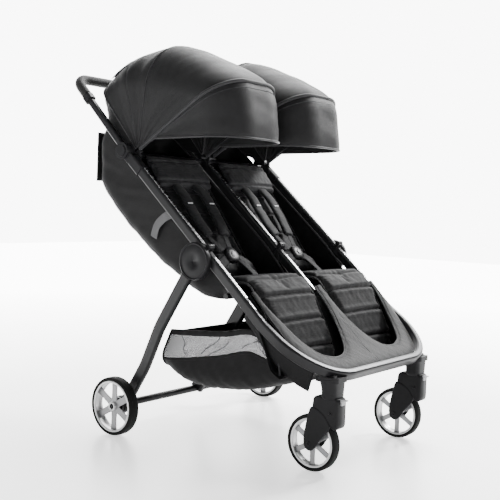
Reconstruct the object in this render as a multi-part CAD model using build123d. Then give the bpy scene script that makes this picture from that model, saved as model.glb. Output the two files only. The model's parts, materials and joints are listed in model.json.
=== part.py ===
from build123d import *
from math import atan2, cos, degrees, hypot, radians, sin
import os

os.makedirs("parts", exist_ok=True)

# Twin travel stroller: two seats side by side on three parallel rails.
# +X is the child's left, -Y is forward, +Z is up. Everything is first laid out with the
# rear axle above y = 0, and moved at the end so that the origin is under the box's middle.

# ---- wheels
rear_wheel_radius = 86.0
rear_tyre_width = 34.0
rear_tyre_wall = 11.0
rear_wheel_outset = 36.0
front_wheel_radius = 76.0
front_tyre_width = 28.0
front_tyre_wall = 11.0
front_wheel_inset = 98.0
wheelbase = 618.0
caster_trail = 54.0
rim_lip = 5.0
spoke_count = 6
spoke_width = 5.0
spoke_depth = 13.0
wheel_hub_radius = 13.0
rear_stub_radius = 5.0
front_stub_radius = 4.0
running_gap = 0.05
side_gap = 1.0

# ---- rails and hub
rail_angle = 41.0
rail_spacing = 654.0
rail_width = 22.0
rail_depth = 30.0
rail_corner = 7.0
hub_behind = -286.0
hub_height = 534.0
hub_below_rail = 31.0
hub_disc_radius = 52.0
hub_disc_depth = 17.0
hub_pin_radius = 8.0
hub_eye_radius = 14.0
knuckle_length = 44.0
lower_rail_length = 271.0
loop_slope = 34.2
loop_reach = 215.0
loop_corner_radius = 165.0
loop_bend_radius = 90.0
trim_width = 9.0
trim_height = 1.4
centre_rail_end = 180.0
fold_axis_lift = 9.0
fold_ear_radius = 8.0
fold_pin_radius = 3.0
upper_rail_length = 430.0
crossbar_radius = 8.0
seat_crossbar_along = 136.0
back_crossbar_along = 413.0
handle_clearance = 40.0

# ---- rear legs
leg_width = 36.0
leg_thickness = 17.0
leg_inset = 26.0
leg_jog_start = 0.44
leg_jog_end = 0.72
centre_leg_width = 44.0
centre_leg_thickness = 20.0
cross_tube_radius = 11.0
brake_drum_radius = 27.0
brake_pin_radius = 3.5
brake_pin_travel = 8.0
brake_ring_radius = 19.0
brake_slot_count = 8

# ---- handle
handle_angle = 43.8
handle_arm_length = 332.0
handle_corner_radius = 48.0
handle_bar_width = 18.0
handle_bar_depth = 22.0
grip_radius = 15.5
grip_arm_length = 84.0
knob_radius = 25.0
knob_depth = 7.0
button_radius = 17.0
button_travel = 3.0
sleeve_wall = 2.5
sleeve_length = 92.0

# ---- canopies
canopy_forward = 34.0
canopy_inner = 20.0
canopy_side_gap = 5.0
canopy_cloth = 2.0
canopy_bow_radius = 3.0
canopy_start = 16.0
canopy_corner = 118.0
rear_edge_angle = 47.5
rear_edge_reach = 258.0
rear_seam_angle = 74.0
rear_seam_reach = 272.0
mid_bow_angle = 96.0
mid_bow_reach = 302.0
crown_angle = 116.0
crown_reach = 349.0
front_bow_angle = 148.0
front_bow_reach = 378.0
visor_angle = 173.0
visor_reach = 352.0
panel_gap_angle = 0.6

# ---- seats
footwell_lip = 44.0
seat_inner = 34.0
seat_side_gap = 20.0
seat_thickness = 24.0
back_thickness = 28.0
back_angle = 52.5
back_length = 432.0
bight_behind = -270.0
bight_height = 474.0
seat_crest_behind = -430.0
seat_crest_height = 498.0
legrest_lower_ahead = -545.0
legrest_lower_height = 272.0
body_gap = 3.0

# ---- casters
stem_radius = 20.0
stem_top = 246.0
stem_bottom = 206.0
spindle_radius = 7.0
block_bottom = 152.0
fork_gap = 2.0
fork_wall = 6.0
lock_travel = 7.0

# ---- soft shells
cloth = 3.0
basket_inset = 65.0
basket_floor_height = 196.0
basket_behind_gap = 34.0

half_spacing = rail_spacing / 2
rear_track = rail_spacing + 2 * rear_wheel_outset
front_track = rail_spacing - 2 * front_wheel_inset
canopy_outer = half_spacing - rail_width / 2 - canopy_side_gap
seat_width = half_spacing - rail_width / 2 - seat_side_gap - seat_inner
basket_half_width = half_spacing - basket_inset
rail_dir = Vector(0, cos(radians(rail_angle)), sin(radians(rail_angle)))
rail_up = Vector(0, -sin(radians(rail_angle)), cos(radians(rail_angle)))
hub = Vector(0, hub_behind, hub_height)
rail_foot = hub + rail_up * hub_below_rail
fold_axis = rail_foot + rail_up * (rail_depth / 2 + fold_axis_lift)
rear_axle = Vector(0, 0, rear_wheel_radius)
front_axle = Vector(0, -wheelbase, front_wheel_radius)
stem_y = -wheelbase - caster_trail
knob = rail_foot + rail_dir * upper_rail_length
canopy_pivot = knob + Vector(0, -canopy_forward, 0)
loop_dir = Vector(0, -cos(radians(loop_slope)), -sin(radians(loop_slope)))
rail_end = rail_foot - rail_dir * lower_rail_length
loop_front = rail_end + loop_dir * loop_reach
handle_dir = Vector(0, cos(radians(handle_angle)), sin(radians(handle_angle)))
handle_top = knob + handle_dir * handle_arm_length
wheel_inner = rear_track / 2 - rear_tyre_width / 2
leg_top_x = half_spacing + rail_width / 2 + side_gap + leg_thickness / 2
leg_foot_x = leg_top_x - leg_inset

made = {}


def side_points(x, points):
    return [Vector(x, p.Y, p.Z) for p in points]


def along(path, width, depth, corner):
    """Sweep a rounded rectangle along a wire that starts in a plane of constant x."""
    start = Plane(origin=path @ 0, x_dir=(1, 0, 0), z_dir=path % 0)
    return sweep(start * RectangleRounded(width, depth, corner), path=path)


def both(shape):
    return [shape, mirror(shape, about=Plane.YZ)]


def straight(x, start, end, width, depth, corner):
    path = Line(Vector(x, start.Y, start.Z), Vector(x, end.Y, end.Z))
    return along(path, width, depth, corner)


def drum(x0, x1, centre, radius):
    """A cylinder along X from x0 to x1."""
    middle = Vector((x0 + x1) / 2, centre.Y, centre.Z)
    return Pos(middle) * Rot(0, 90, 0) * Cylinder(radius, abs(x1 - x0))


def plate(x0, x1, outline):
    """A flat plate of constant section in Y and Z, between x0 and x1."""
    face = make_face(Polyline(*[Vector(x0, p[0], p[1]) for p in outline], close=True))
    return extrude(face, amount=x1 - x0, dir=(1, 0, 0))


def band(points, thickness):
    """An outline in Y and Z: the points, and the same points moved down by their mean normals."""
    back = []
    for i, p in enumerate(points):
        before = points[max(i - 1, 0)]
        after = points[min(i + 1, len(points) - 1)]
        dy = after[0] - before[0]
        dz = after[1] - before[1]
        length = hypot(dy, dz)
        back.append((p[0] - dz / length * thickness, p[1] + dy / length * thickness))
    return list(points) + back[::-1]


def keep(name, shapes):
    parts = shapes if isinstance(shapes, list) else [shapes]
    solids = [s for p in parts for s in p.solids()]
    made[name] = solids


# ---- lower frame: side rails, front loop, trims, centre rail
def make_lower_frame():
    lower_start = rail_foot - rail_dir * (knuckle_length / 2)
    loop_start = rail_end + rail_dir * 45
    rail = straight(half_spacing, lower_start, loop_start, rail_width, rail_depth, rail_corner)
    keep("lower_rails", both(rail))

    corners = [
        Vector(half_spacing, loop_start.Y, loop_start.Z),
        Vector(half_spacing, rail_end.Y, rail_end.Z),
        Vector(half_spacing, loop_front.Y, loop_front.Z),
        Vector(-half_spacing, loop_front.Y, loop_front.Z),
        Vector(-half_spacing, rail_end.Y, rail_end.Z),
        Vector(-half_spacing, loop_start.Y, loop_start.Z),
    ]
    radii = [loop_bend_radius, loop_corner_radius, loop_corner_radius, loop_bend_radius]
    path = FilletPolyline(*corners, radius=radii)
    loop = along(path, rail_width, rail_depth, rail_corner)
    keep("front_loop", loop)

    lift = rail_depth / 2 + trim_height / 2
    rail_trim = straight(
        half_spacing,
        lower_start + rail_up * lift - rail_dir * 12,
        loop_start + rail_up * lift,
        trim_width,
        trim_height,
        trim_height / 2.1,
    )
    centre_start = rail_foot - rail_dir * (knuckle_length / 2)
    centre_stop = rail_foot - rail_dir * centre_rail_end
    centre = straight(0, centre_start, centre_stop, rail_width, rail_depth, rail_corner)
    centre_trim = straight(
        0,
        centre_start + rail_up * lift - rail_dir * 12,
        centre_stop + rail_up * lift,
        trim_width,
        trim_height,
        trim_height / 2.1,
    )
    keep("centre_rail_lower", centre)
    keep("lower_trim", both(rail_trim) + [centre_trim])


def make_seat_crossbar():
    """A tube across under the front of both seats, tangent to the three lower rails."""
    drop = rail_depth / 2 + crossbar_radius + 6
    level = rail_foot - rail_dir * seat_crossbar_along - rail_up * drop
    reach = half_spacing + rail_width / 2 - 2
    bar = drum(-reach, reach, level, crossbar_radius)
    keep("seat_crossbar", bar)


def make_knuckles():
    """Knuckle blocks on the lower rails' top ends, with the hub pins and the fold ears."""
    blocks = []
    ear_width = 6.0
    pins_x = [half_spacing, 0, -half_spacing]
    start = rail_foot - rail_dir * (knuckle_length / 2)
    for x in pins_x:
        block = straight(x, start, rail_foot - rail_dir * 1.0, rail_width, rail_depth, rail_corner)
        for side in (-1, 1):
            ear_x = x + side * (rail_width / 2 - ear_width / 2)
            ear = drum(ear_x - ear_width / 2, ear_x + ear_width / 2, fold_axis, fold_ear_radius)
            web = straight(
                ear_x,
                fold_axis - rail_up * (fold_axis_lift + 4) - rail_dir * 5,
                fold_axis - rail_dir * 3,
                ear_width,
                8,
                1,
            )
            block = block + ear + web
        block = block + drum(x - rail_width / 2, x + rail_width / 2, fold_axis, fold_pin_radius)
        if x == 0:
            for side in (-1, 1):
                inner = side * (centre_leg_thickness / 2 + side_gap)
                outer = side * (centre_leg_thickness / 2 + side_gap + 5)
                cheek = drum(inner, outer, hub, hub_eye_radius)
                web = straight(
                    (inner + outer) / 2,
                    hub,
                    rail_foot - rail_dir * 26 - rail_up * 2,
                    5,
                    26,
                    1,
                )
                block = block + cheek + web
            reach = centre_leg_thickness / 2 + side_gap + 5
            block = block + drum(-reach, reach, hub, hub_pin_radius)
        else:
            side = 1 if x > 0 else -1
            body = drum(x - rail_width / 2, x + rail_width / 2, hub, hub_eye_radius)
            neck = straight(
                x, hub, rail_foot - rail_dir * 26 - rail_up * 4, rail_width - 2, 26, 4
            )
            pin = drum(x, x + side * (rail_width / 2 + side_gap + hub_disc_depth - 5), hub, hub_pin_radius)
            block = block + body + neck + pin
        room = straight(
            x,
            rail_foot - rail_dir * side_gap,
            rail_foot + rail_dir * 70,
            rail_width + 20,
            rail_depth + 2,
            1,
        )
        foot = straight(
            x, start - rail_dir * 80, start, rail_width + 0.01, rail_depth + 0.01, rail_corner
        )
        blocks.append(block - room - foot)
    keep("hub_knuckles", blocks)


def make_front_end():
    loop_up = Vector(0, -sin(radians(loop_slope)), cos(radians(loop_slope)))
    levels = [
        loop_front - loop_dir * 6 - loop_up * 4,
        loop_front - loop_dir * 78 - loop_up * 6,
        rail_end + loop_dir * 72 + loop_up * 2,
        rail_end + loop_dir * 4 + loop_up * 16,
        rail_end + rail_dir * 96 + rail_up * 24,
    ]
    profile = [(p.Y, p.Z) for p in levels]
    sheet = plate(-half_spacing, half_spacing, band(profile, 4.0))
    inner = half_spacing - rail_width / 2 - side_gap
    front = loop_front.Y + rail_width / 2 + 3 * side_gap
    back = rail_end.Y + 62
    bend = loop_corner_radius - rail_width / 2 - side_gap
    plate_plan = Pos(0, (front + back) / 2) * Rectangle(2 * inner, back - front)
    plate_plan = fillet(plate_plan.vertices().group_by(Axis.Y)[0], bend)
    mouth = front + footwell_lip
    opening = make_face(
        Polyline(
            (inner - 16, back + 5),
            (inner - 16, mouth + 120),
            (inner - 62, mouth + 40),
            (150, mouth),
            (88, mouth + 18),
            (46, mouth + 66),
            (15, back + 5),
            close=True,
        )
    )
    opening = fillet(opening.vertices().group_by(Axis.Y)[0:4], 24)
    plan = plate_plan - opening - mirror(opening, about=Plane.YZ)
    keep("footwell_panel", sheet & extrude(plan, amount=900))

    brackets = []
    for side in (-1, 1):
        x = side * front_track / 2
        stem = Pos(x, stem_y, (stem_top + stem_bottom) / 2) * Cylinder(
            stem_radius, stem_top - stem_bottom
        )
        seat = Pos(x, stem_y + 6, stem_top + 7) * Box(62, 70, 14)
        seat = fillet(seat.edges().filter_by(Axis.Z), 14)
        bore = Pos(x, stem_y, stem_bottom) * Cylinder(
            spindle_radius + running_gap, 2 * (stem_top - stem_bottom - 1)
        )
        brackets.append(stem + seat - bore - made["front_loop"][0])
    bar_x = front_track / 2 - 31
    bar = drum(-bar_x, bar_x, Vector(0, stem_y + 22, stem_top + 2), 8)
    keep("caster_brackets", brackets + [bar])


# ---- wheels
def make_wheel(x, axle, radius, width, wall, bore, side):
    """One tyre and one rim, their axle along X. side is +1 where the outer face looks to +X."""
    rim_radius = radius - wall
    ring = Rectangle(width - 8, rim_lip, align=(Align.CENTER, Align.MAX))
    rim = revolve(Pos(0, rim_radius, 0) * ring, axis=Axis.X)
    rim = rim + Rot(0, 90, 0) * Cylinder(wheel_hub_radius, width - 4)
    length = rim_radius - rim_lip - wheel_hub_radius + 3
    for i in range(spoke_count):
        spoke = Box(spoke_depth, spoke_width, length, align=(Align.CENTER, Align.CENTER, Align.MIN))
        spoke = Pos(side * 3, 0, wheel_hub_radius - 1.5) * spoke
        rim = rim + Rot(i * 360 / spoke_count, 0, 0) * spoke
    rim = rim - Rot(0, 90, 0) * Cylinder(bore, width + 10)
    tread = Rectangle(width, wall, align=(Align.CENTER, Align.MAX))
    tread = fillet(tread.vertices().group_by(Axis.Y)[-1], wall * 0.72)
    tyre = revolve(Pos(0, radius, 0) * tread, axis=Axis.X)
    place = Pos(x, axle.Y, axle.Z)
    return place * tyre, place * rim


def make_rear_wheels():
    for side, name in ((-1, "right"), (1, "left")):
        x = side * rear_track / 2
        bore = rear_stub_radius + running_gap
        tyre, rim = make_wheel(
            x, rear_axle, rear_wheel_radius, rear_tyre_width, rear_tyre_wall, bore, side
        )
        ring_in = x - side * (rear_tyre_width / 2 - 2)
        ring_out = ring_in + side * 9
        ring = drum(ring_in, ring_out, rear_axle, brake_ring_radius + brake_pin_radius + 3)
        ring = ring - drum(ring_in - side, ring_out + side, rear_axle, wheel_hub_radius)
        for i in range(brake_slot_count):
            angle = radians(i * 360 / brake_slot_count)
            centre = rear_axle + Vector(0, cos(angle), sin(angle)) * brake_ring_radius
            ring = ring - drum(ring_in - side, ring_out + side, centre, brake_pin_radius + 0.8)
        keep("rear_tyre_" + name, tyre)
        keep("rear_rim_" + name, rim)
        keep("brake_ring_" + name, ring)


def make_casters():
    for side, name in ((-1, "right"), (1, "left")):
        x = side * front_track / 2
        bore = front_stub_radius + running_gap
        tyre, rim = make_wheel(
            x, front_axle, front_wheel_radius, front_tyre_width, front_tyre_wall, bore, side
        )
        keep("front_tyre_" + name, tyre)
        keep("front_rim_" + name, rim)

        # swivel block, with its spindle in the stem
        block_top = stem_bottom - side_gap
        half = front_tyre_width / 2 + fork_gap + fork_wall
        outline = [
            (stem_y - 24, block_top),
            (stem_y + 24, block_top),
            (stem_y + 50, block_top - 18),
            (stem_y + 52, block_bottom + 12),
            (stem_y + 34, block_bottom + 2),
            (stem_y - 22, block_bottom + 2),
            (stem_y - 27, block_top - 12),
        ]
        block = plate(x - half, x + half, outline)
        wheel_room = drum(x - half - 1, x + half + 1, front_axle, front_wheel_radius + 4)
        spindle_rise = stem_top - stem_bottom - 3
        spindle = Pos(x, stem_y, block_top + spindle_rise / 2) * Cylinder(spindle_radius, spindle_rise)
        fork_room = plate(
            x - half - 1,
            x + half + 1,
            [
                (stem_y + 6, block_bottom + 30),
                (stem_y + 60, block_bottom + 30),
                (stem_y + 60, block_bottom - 10),
                (stem_y + 6, block_bottom - 10),
            ],
        )
        block = block - wheel_room - fork_room
        pivot = Vector(0, stem_y + 30, block_bottom + 12)
        ear = drum(x - 9, x + 9, pivot, 9) + plate(
            x - 9,
            x + 9,
            [
                (pivot.Y - 9, pivot.Z),
                (pivot.Y + 9, pivot.Z),
                (pivot.Y + 9, block_bottom + 34),
                (pivot.Y - 9, block_bottom + 34),
            ],
        )
        block = block + ear + drum(x - half + 1, x + half - 1, pivot, 4) + spindle
        keep("caster_block_" + name, block)

        # fork: two cheeks about the wheel, hinged to the block
        cheek_line = [
            (pivot.Y - 13, pivot.Z + 13),
            (pivot.Y + 20, pivot.Z + 13),
            (pivot.Y + 26, pivot.Z - 20),
            (front_axle.Y + 15, front_axle.Z + 4),
            (front_axle.Y + 8, front_axle.Z - 13),
            (front_axle.Y - 8, front_axle.Z - 13),
            (front_axle.Y - 15, front_axle.Z + 4),
            (pivot.Y - 17, pivot.Z - 22),
        ]
        fork = []
        for hand in (-1, 1):
            inner = x + hand * (half - fork_wall)
            outer = x + hand * half
            cheek = plate(min(inner, outer), max(inner, outer), cheek_line)
            cheek = cheek - drum(inner - hand, outer + hand, pivot, 4 + running_gap)
            fork.append(cheek)
        stub = drum(x - half, x + half, front_axle, front_stub_radius)
        keep("caster_fork_" + name, fork[0] + fork[1] + stub)

        # swivel lock: a small tab that slides up and down on the block's front
        tab = Pos(x, stem_y - 31, block_top - 10) * Box(16, 6, 14)
        lip = Pos(x, stem_y - 37, block_top - 5) * Box(22, 8, 3)
        keep("swivel_lock_" + name, tab + lip)


# ---- rear legs, with the axle, brakes and pedal
def make_rear_legs():
    run = rear_axle - hub
    legs = []
    discs = []
    for side in (-1, 1):
        top = side * leg_top_x
        foot = side * leg_foot_x
        points = [
            Vector(top, 0, 0) + hub + run * 0.07,
            Vector(top, 0, 0) + hub + run * leg_jog_start,
            Vector(foot, 0, 0) + hub + run * leg_jog_end,
            Vector(foot, 0, 0) + rear_axle,
        ]
        path = FilletPolyline(*points, radius=[200, 200])
        leg = along(path, leg_thickness, leg_width, 6)
        boss = drum(foot - leg_thickness / 2, foot + leg_thickness / 2, rear_axle, leg_width / 2)
        legs.append(leg + boss)
        inner = side * (half_spacing + rail_width / 2 + side_gap)
        outer = inner + side * hub_disc_depth
        disc = drum(inner, outer, hub, hub_disc_radius)
        disc = disc - drum(outer - side * 3, outer + side, hub, hub_disc_radius - 6)
        disc = disc + drum(outer - side * 3, outer - side * 1.2, hub, hub_disc_radius - 8)
        pin_end = inner + side * (hub_disc_depth - 5)
        disc = disc - drum(inner - side, pin_end, hub, hub_pin_radius + running_gap)
        discs.append(disc)
    keep("hub_discs", discs)
    keep("rear_legs", [leg - drum(-400, 400, hub, hub_disc_radius) for leg in legs])

    centre = straight(0, hub + run * 0.09, rear_axle, centre_leg_thickness, centre_leg_width, 6)
    neck = straight(0, hub, hub + run * 0.1, centre_leg_thickness, hub_eye_radius * 2, 4)
    eye = drum(-centre_leg_thickness / 2, centre_leg_thickness / 2, hub, hub_eye_radius)
    centre = centre + neck + eye
    centre = centre - drum(-20, 20, hub, hub_pin_radius + running_gap)
    tube_x = leg_foot_x - leg_thickness / 2
    tube = drum(-tube_x, tube_x, rear_axle, cross_tube_radius)
    keep("centre_leg", centre - drum(-20, 20, rear_axle, cross_tube_radius))
    keep("rear_cross_tube", tube)

    housings = []
    for side in (-1, 1):
        inner = side * (leg_foot_x + leg_thickness / 2)
        outer = side * (wheel_inner - side_gap)
        housing = drum(inner, outer, rear_axle, brake_drum_radius)
        stub_end = side * (rear_track / 2 + rear_tyre_width / 2 - 4)
        housing = housing + drum(inner, stub_end, rear_axle, rear_stub_radius)
        pin = rear_axle + Vector(0, 0, brake_ring_radius)
        housing = housing - drum(inner, outer + side, pin, brake_pin_radius + running_gap)
        housings.append(housing)
        name = "left" if side > 0 else "right"
        pin_tip = side * (wheel_inner - side_gap)
        keep("brake_pin_" + name, drum(inner + side * brake_pin_travel * 0.05, pin_tip, pin, brake_pin_radius))
    keep("brake_housings", housings)

    pedal_eye = drum(90, 150, rear_axle, cross_tube_radius + 5)
    pedal_eye = pedal_eye - drum(80, 160, rear_axle, cross_tube_radius + running_gap)
    pad = Pos(120, 44, rear_wheel_radius + 14) * Rot(12, 0, 0) * Box(74, 46, 7)
    arm = Pos(120, 20, rear_wheel_radius + 8) * Rot(12, 0, 0) * Box(30, 26, 7)
    arm = arm - drum(80, 160, rear_axle, cross_tube_radius + 3)
    keep("brake_pedal", pedal_eye + arm + pad)


# ---- upper frame
def make_upper_frame():
    ear_gap = 0.4
    start = rail_foot + rail_dir * side_gap
    rail_stop = knob - rail_dir * handle_clearance
    rails = []
    for x in (-half_spacing, half_spacing):
        rail = straight(x, start, rail_stop, rail_width, rail_depth, rail_corner)
        rails.append(rail + fold_ear(x, ear_gap))
    head = rail_foot + rail_dir * (back_crossbar_along + crossbar_radius + 3)
    centre = straight(0, start, head, rail_width, rail_depth, rail_corner) + fold_ear(0, ear_gap)
    keep("centre_rail_upper", centre)
    reach = half_spacing - rail_width / 2 - sleeve_wall
    bar = drum(-reach, reach, rail_foot + rail_dir * back_crossbar_along, crossbar_radius)
    keep("upper_rails", rails + [bar - made["centre_rail_upper"][0]])

    lift = rail_depth / 2 + trim_height / 2
    trims = []
    for x, stop in ((-half_spacing, knob), (0, head), (half_spacing, knob)):
        trims.append(
            straight(
                x,
                rail_foot + rail_dir * 22 + rail_up * lift,
                stop - rail_dir * (34 if x == 0 else sleeve_length + 2) + rail_up * lift,
                trim_width,
                trim_height,
                trim_height / 2.1,
            )
        )
    keep("upper_trim", trims)

    sleeves = []
    for x in (-half_spacing, half_spacing):
        side = 1 if x > 0 else -1
        low = knob - rail_dir * sleeve_length
        outer = straight(
            x, low, rail_stop, rail_width + 2 * sleeve_wall, rail_depth + 2 * sleeve_wall, rail_corner
        )
        core = straight(x, low - rail_dir * 5, knob + rail_dir * 5, rail_width, rail_depth, rail_corner)
        outer = outer - core
        sleeves.append(outer)
    made["rail_sleeves"] = [s for sleeve in sleeves for s in sleeve.solids()]


def fold_ear(x, gap):
    half = rail_width / 2 - 6.0 - gap
    ear = drum(x - half, x + half, fold_axis, fold_ear_radius)
    web = straight(
        x,
        fold_axis - rail_up * (fold_axis_lift + 4) + rail_dir * 5,
        fold_axis + rail_dir * 3,
        half * 2,
        8,
        1,
    )
    return ear + web - drum(x - half - 1, x + half + 1, fold_axis, fold_pin_radius + running_gap)


def make_handle():
    corners = [
        Vector(half_spacing, 0, 0) + knob + handle_dir * 19,
        Vector(half_spacing, 0, 0) + handle_top,
        Vector(-half_spacing, 0, 0) + handle_top,
        Vector(-half_spacing, 0, 0) + knob + handle_dir * 19,
    ]
    path = FilletPolyline(*corners, radius=handle_corner_radius)
    bar = along(path, handle_bar_width, handle_bar_depth, 6)
    eyes = [drum(x - handle_bar_width / 2, x + handle_bar_width / 2, knob, knob_radius - 3)
            for x in (half_spacing, -half_spacing)]
    eyes = [eye - drum(-500, 500, knob, hub_pin_radius + running_gap) for eye in eyes]
    keep("handle_bar", bar + eyes[0] + eyes[1])

    grip_start = handle_top - handle_dir * grip_arm_length
    grip_corners = [
        Vector(half_spacing, 0, 0) + grip_start,
        Vector(half_spacing, 0, 0) + handle_top,
        Vector(-half_spacing, 0, 0) + handle_top,
        Vector(-half_spacing, 0, 0) + grip_start,
    ]
    grip_path = FilletPolyline(*grip_corners, radius=handle_corner_radius)
    section = Plane(origin=grip_path @ 0, x_dir=(1, 0, 0), z_dir=grip_path % 0)
    grip = sweep(section * Circle(grip_radius), path=grip_path)
    keep("handle_grip", grip - made["handle_bar"][0])

    latch_at = grip_start - handle_dir * 12
    latch = straight(
        half_spacing,
        latch_at - handle_dir * 11,
        latch_at + handle_dir * 11,
        handle_bar_width + 9,
        handle_bar_depth + 9,
        8,
    )
    latch = latch - made["handle_bar"][0]
    keep("handle_collars", both(latch))


def make_handle_joints():
    """Fork heads on the upper rails that hold the handle's eyes, and the push buttons."""
    heads = []
    rail_stop = knob - rail_dir * handle_clearance
    for x in (-half_spacing, half_spacing):
        side = 1 if x > 0 else -1
        inner = handle_bar_width / 2 + 0.5
        head = None
        for hand in (-1, 1):
            near = x + hand * inner
            far = x + hand * (rail_width / 2 + sleeve_wall)
            cheek = drum(near, far, knob, knob_radius)
            arm = straight((near + far) / 2, rail_stop + rail_dir * 0.01, knob, far * hand - near * hand,
                           rail_depth, 1.9)
            cheek = cheek + arm
            head = cheek if head is None else head + cheek
        pin = drum(
            x - rail_width / 2 - sleeve_wall, x + rail_width / 2 + sleeve_wall, knob, hub_pin_radius
        )
        face = x + side * (rail_width / 2 + sleeve_wall)
        rim = drum(face, face + side * knob_depth, knob, knob_radius)
        rim = rim - drum(face - side * 2, face + side * (knob_depth + 1), knob, button_radius + 0.3)
        heads.append(head + pin + rim)
        name = "left" if side > 0 else "right"
        button = drum(
            face + side * (button_travel + 0.2),
            face + side * (knob_depth + 2.4),
            knob,
            button_radius,
        )
        keep("fold_button_" + name, button)
    sleeves = made.pop("rail_sleeves")
    keep("handle_joints", [head - made["upper_rails"][i] + sleeves[i] for i, head in enumerate(heads)])


# ---- canopies
def canopy_plane(angle):
    """The plane through the canopy's hinge line, turned angle degrees from the rear."""
    direction = Vector(0, cos(radians(angle)), sin(radians(angle)))
    return Plane(origin=canopy_pivot, x_dir=(1, 0, 0), z_dir=Vector(1, 0, 0).cross(direction))


def canopy_section(angle, reach, x0, x1, start, corner):
    """A round-shouldered upright outline from the hinge line out to the reach."""
    plane = canopy_plane(angle)
    height = reach - start
    shape = Pos((x0 + x1) / 2, start + height / 2) * Rectangle(x1 - x0, height)
    shape = fillet(shape.vertices().group_by(Axis.Y)[-1], corner)
    return plane * shape


def canopy_shell(stations, x0, x1):
    outer = loft([canopy_section(a, r, x0, x1, canopy_start, canopy_corner) for a, r in stations],
                 ruled=True)
    wall = canopy_cloth
    inner = loft(
        [
            canopy_section(a, r - wall, x0 + wall, x1 - wall, canopy_start - 6, canopy_corner - wall)
            for a, r in stations
        ],
        ruled=True,
    )
    return outer - inner


def canopy_bow(angle, reach, x0, x1):
    inset = canopy_cloth + canopy_bow_radius + 1.0
    plane = canopy_plane(angle)
    top = reach - inset
    points = [
        plane.from_local_coords((x0, 8, 0)),
        plane.from_local_coords((x0, top, 0)),
        plane.from_local_coords((x1, top, 0)),
        plane.from_local_coords((x1, 8, 0)),
    ]
    path = FilletPolyline(*points, radius=canopy_corner - inset)
    section = Plane(origin=path @ 0, z_dir=path % 0)
    wire = sweep(section * Circle(canopy_bow_radius), path=path)
    return wire


def make_canopies():
    gap = panel_gap_angle
    clips = []
    for side, name in ((-1, "right"), (1, "left")):
        x0 = min(side * canopy_inner, side * canopy_outer)
        x1 = max(side * canopy_inner, side * canopy_outer)
        rear = canopy_shell(
            [
                (rear_edge_angle, rear_edge_reach),
                (rear_seam_angle, rear_seam_reach),
                (mid_bow_angle - gap, mid_bow_reach),
            ],
            x0,
            x1,
        )
        top = canopy_shell(
            [
                (mid_bow_angle + gap, mid_bow_reach),
                (crown_angle, crown_reach),
                (front_bow_angle - gap, front_bow_reach),
            ],
            x0,
            x1,
        )
        visor = canopy_shell(
            [(front_bow_angle + gap, front_bow_reach), (visor_angle, visor_reach)], x0, x1
        )
        keep("canopy_rear_" + name, rear)
        keep("canopy_top_" + name, top)
        keep("canopy_visor_" + name, visor)
        for angle, reach, inset, label in (
            (mid_bow_angle, mid_bow_reach, 6.0, "mid_bow_"),
            (front_bow_angle, front_bow_reach, 13.0, "front_bow_"),
        ):
            bow = canopy_bow(angle, reach, x0 + inset, x1 - inset)
            for x in (x0 + inset, x1 - inset):
                bow = bow + drum(x - 1.9, x + 1.9, canopy_pivot, 9)
            for x in (x0 + inset, x1 - inset):
                bow = bow - drum(x - 7, x + 7, canopy_pivot, 4.0 + running_gap)
            keep(label + name, bow)
        outer_face = side * (half_spacing - rail_width / 2 - sleeve_wall)
        inner_face = side * 4
        clips.append(drum(outer_face, side * (canopy_outer - 15), canopy_pivot, 4.0))
        clips.append(drum(inner_face, side * (canopy_inner + 15), canopy_pivot, 4.0))
    lug = straight(
        half_spacing - rail_width / 2 - sleeve_wall - 1.5,
        canopy_pivot,
        knob - rail_dir * (handle_clearance + 12),
        3,
        22,
        1,
    )
    centre_head = rail_foot + rail_dir * (back_crossbar_along + crossbar_radius + 3)
    centre_lug = straight(0, canopy_pivot, centre_head - rail_dir * 4, 10, 22, 2)
    centre_lug = centre_lug + drum(-5, 5, canopy_pivot, 12)
    right_clip = clips[0] + mirror(lug, about=Plane.YZ)
    left_clip = clips[2] + lug
    centre_lug = centre_lug + clips[1] + clips[3]
    right_clip = right_clip - made["handle_joints"][0]
    left_clip = left_clip - made["handle_joints"][1]
    centre_lug = centre_lug - made["centre_rail_upper"][0]
    keep("canopy_clips", [right_clip, left_clip, centre_lug])


# ---- seats, harness, soft shells
back_dir = Vector(0, cos(radians(back_angle)), sin(radians(back_angle)))
back_out = Vector(0, -sin(radians(back_angle)), cos(radians(back_angle)))
bight = Vector(0, bight_behind, bight_height)


def back_point(up, out):
    p = bight + back_dir * up + back_out * out
    return (p.Y, p.Z)


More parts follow.
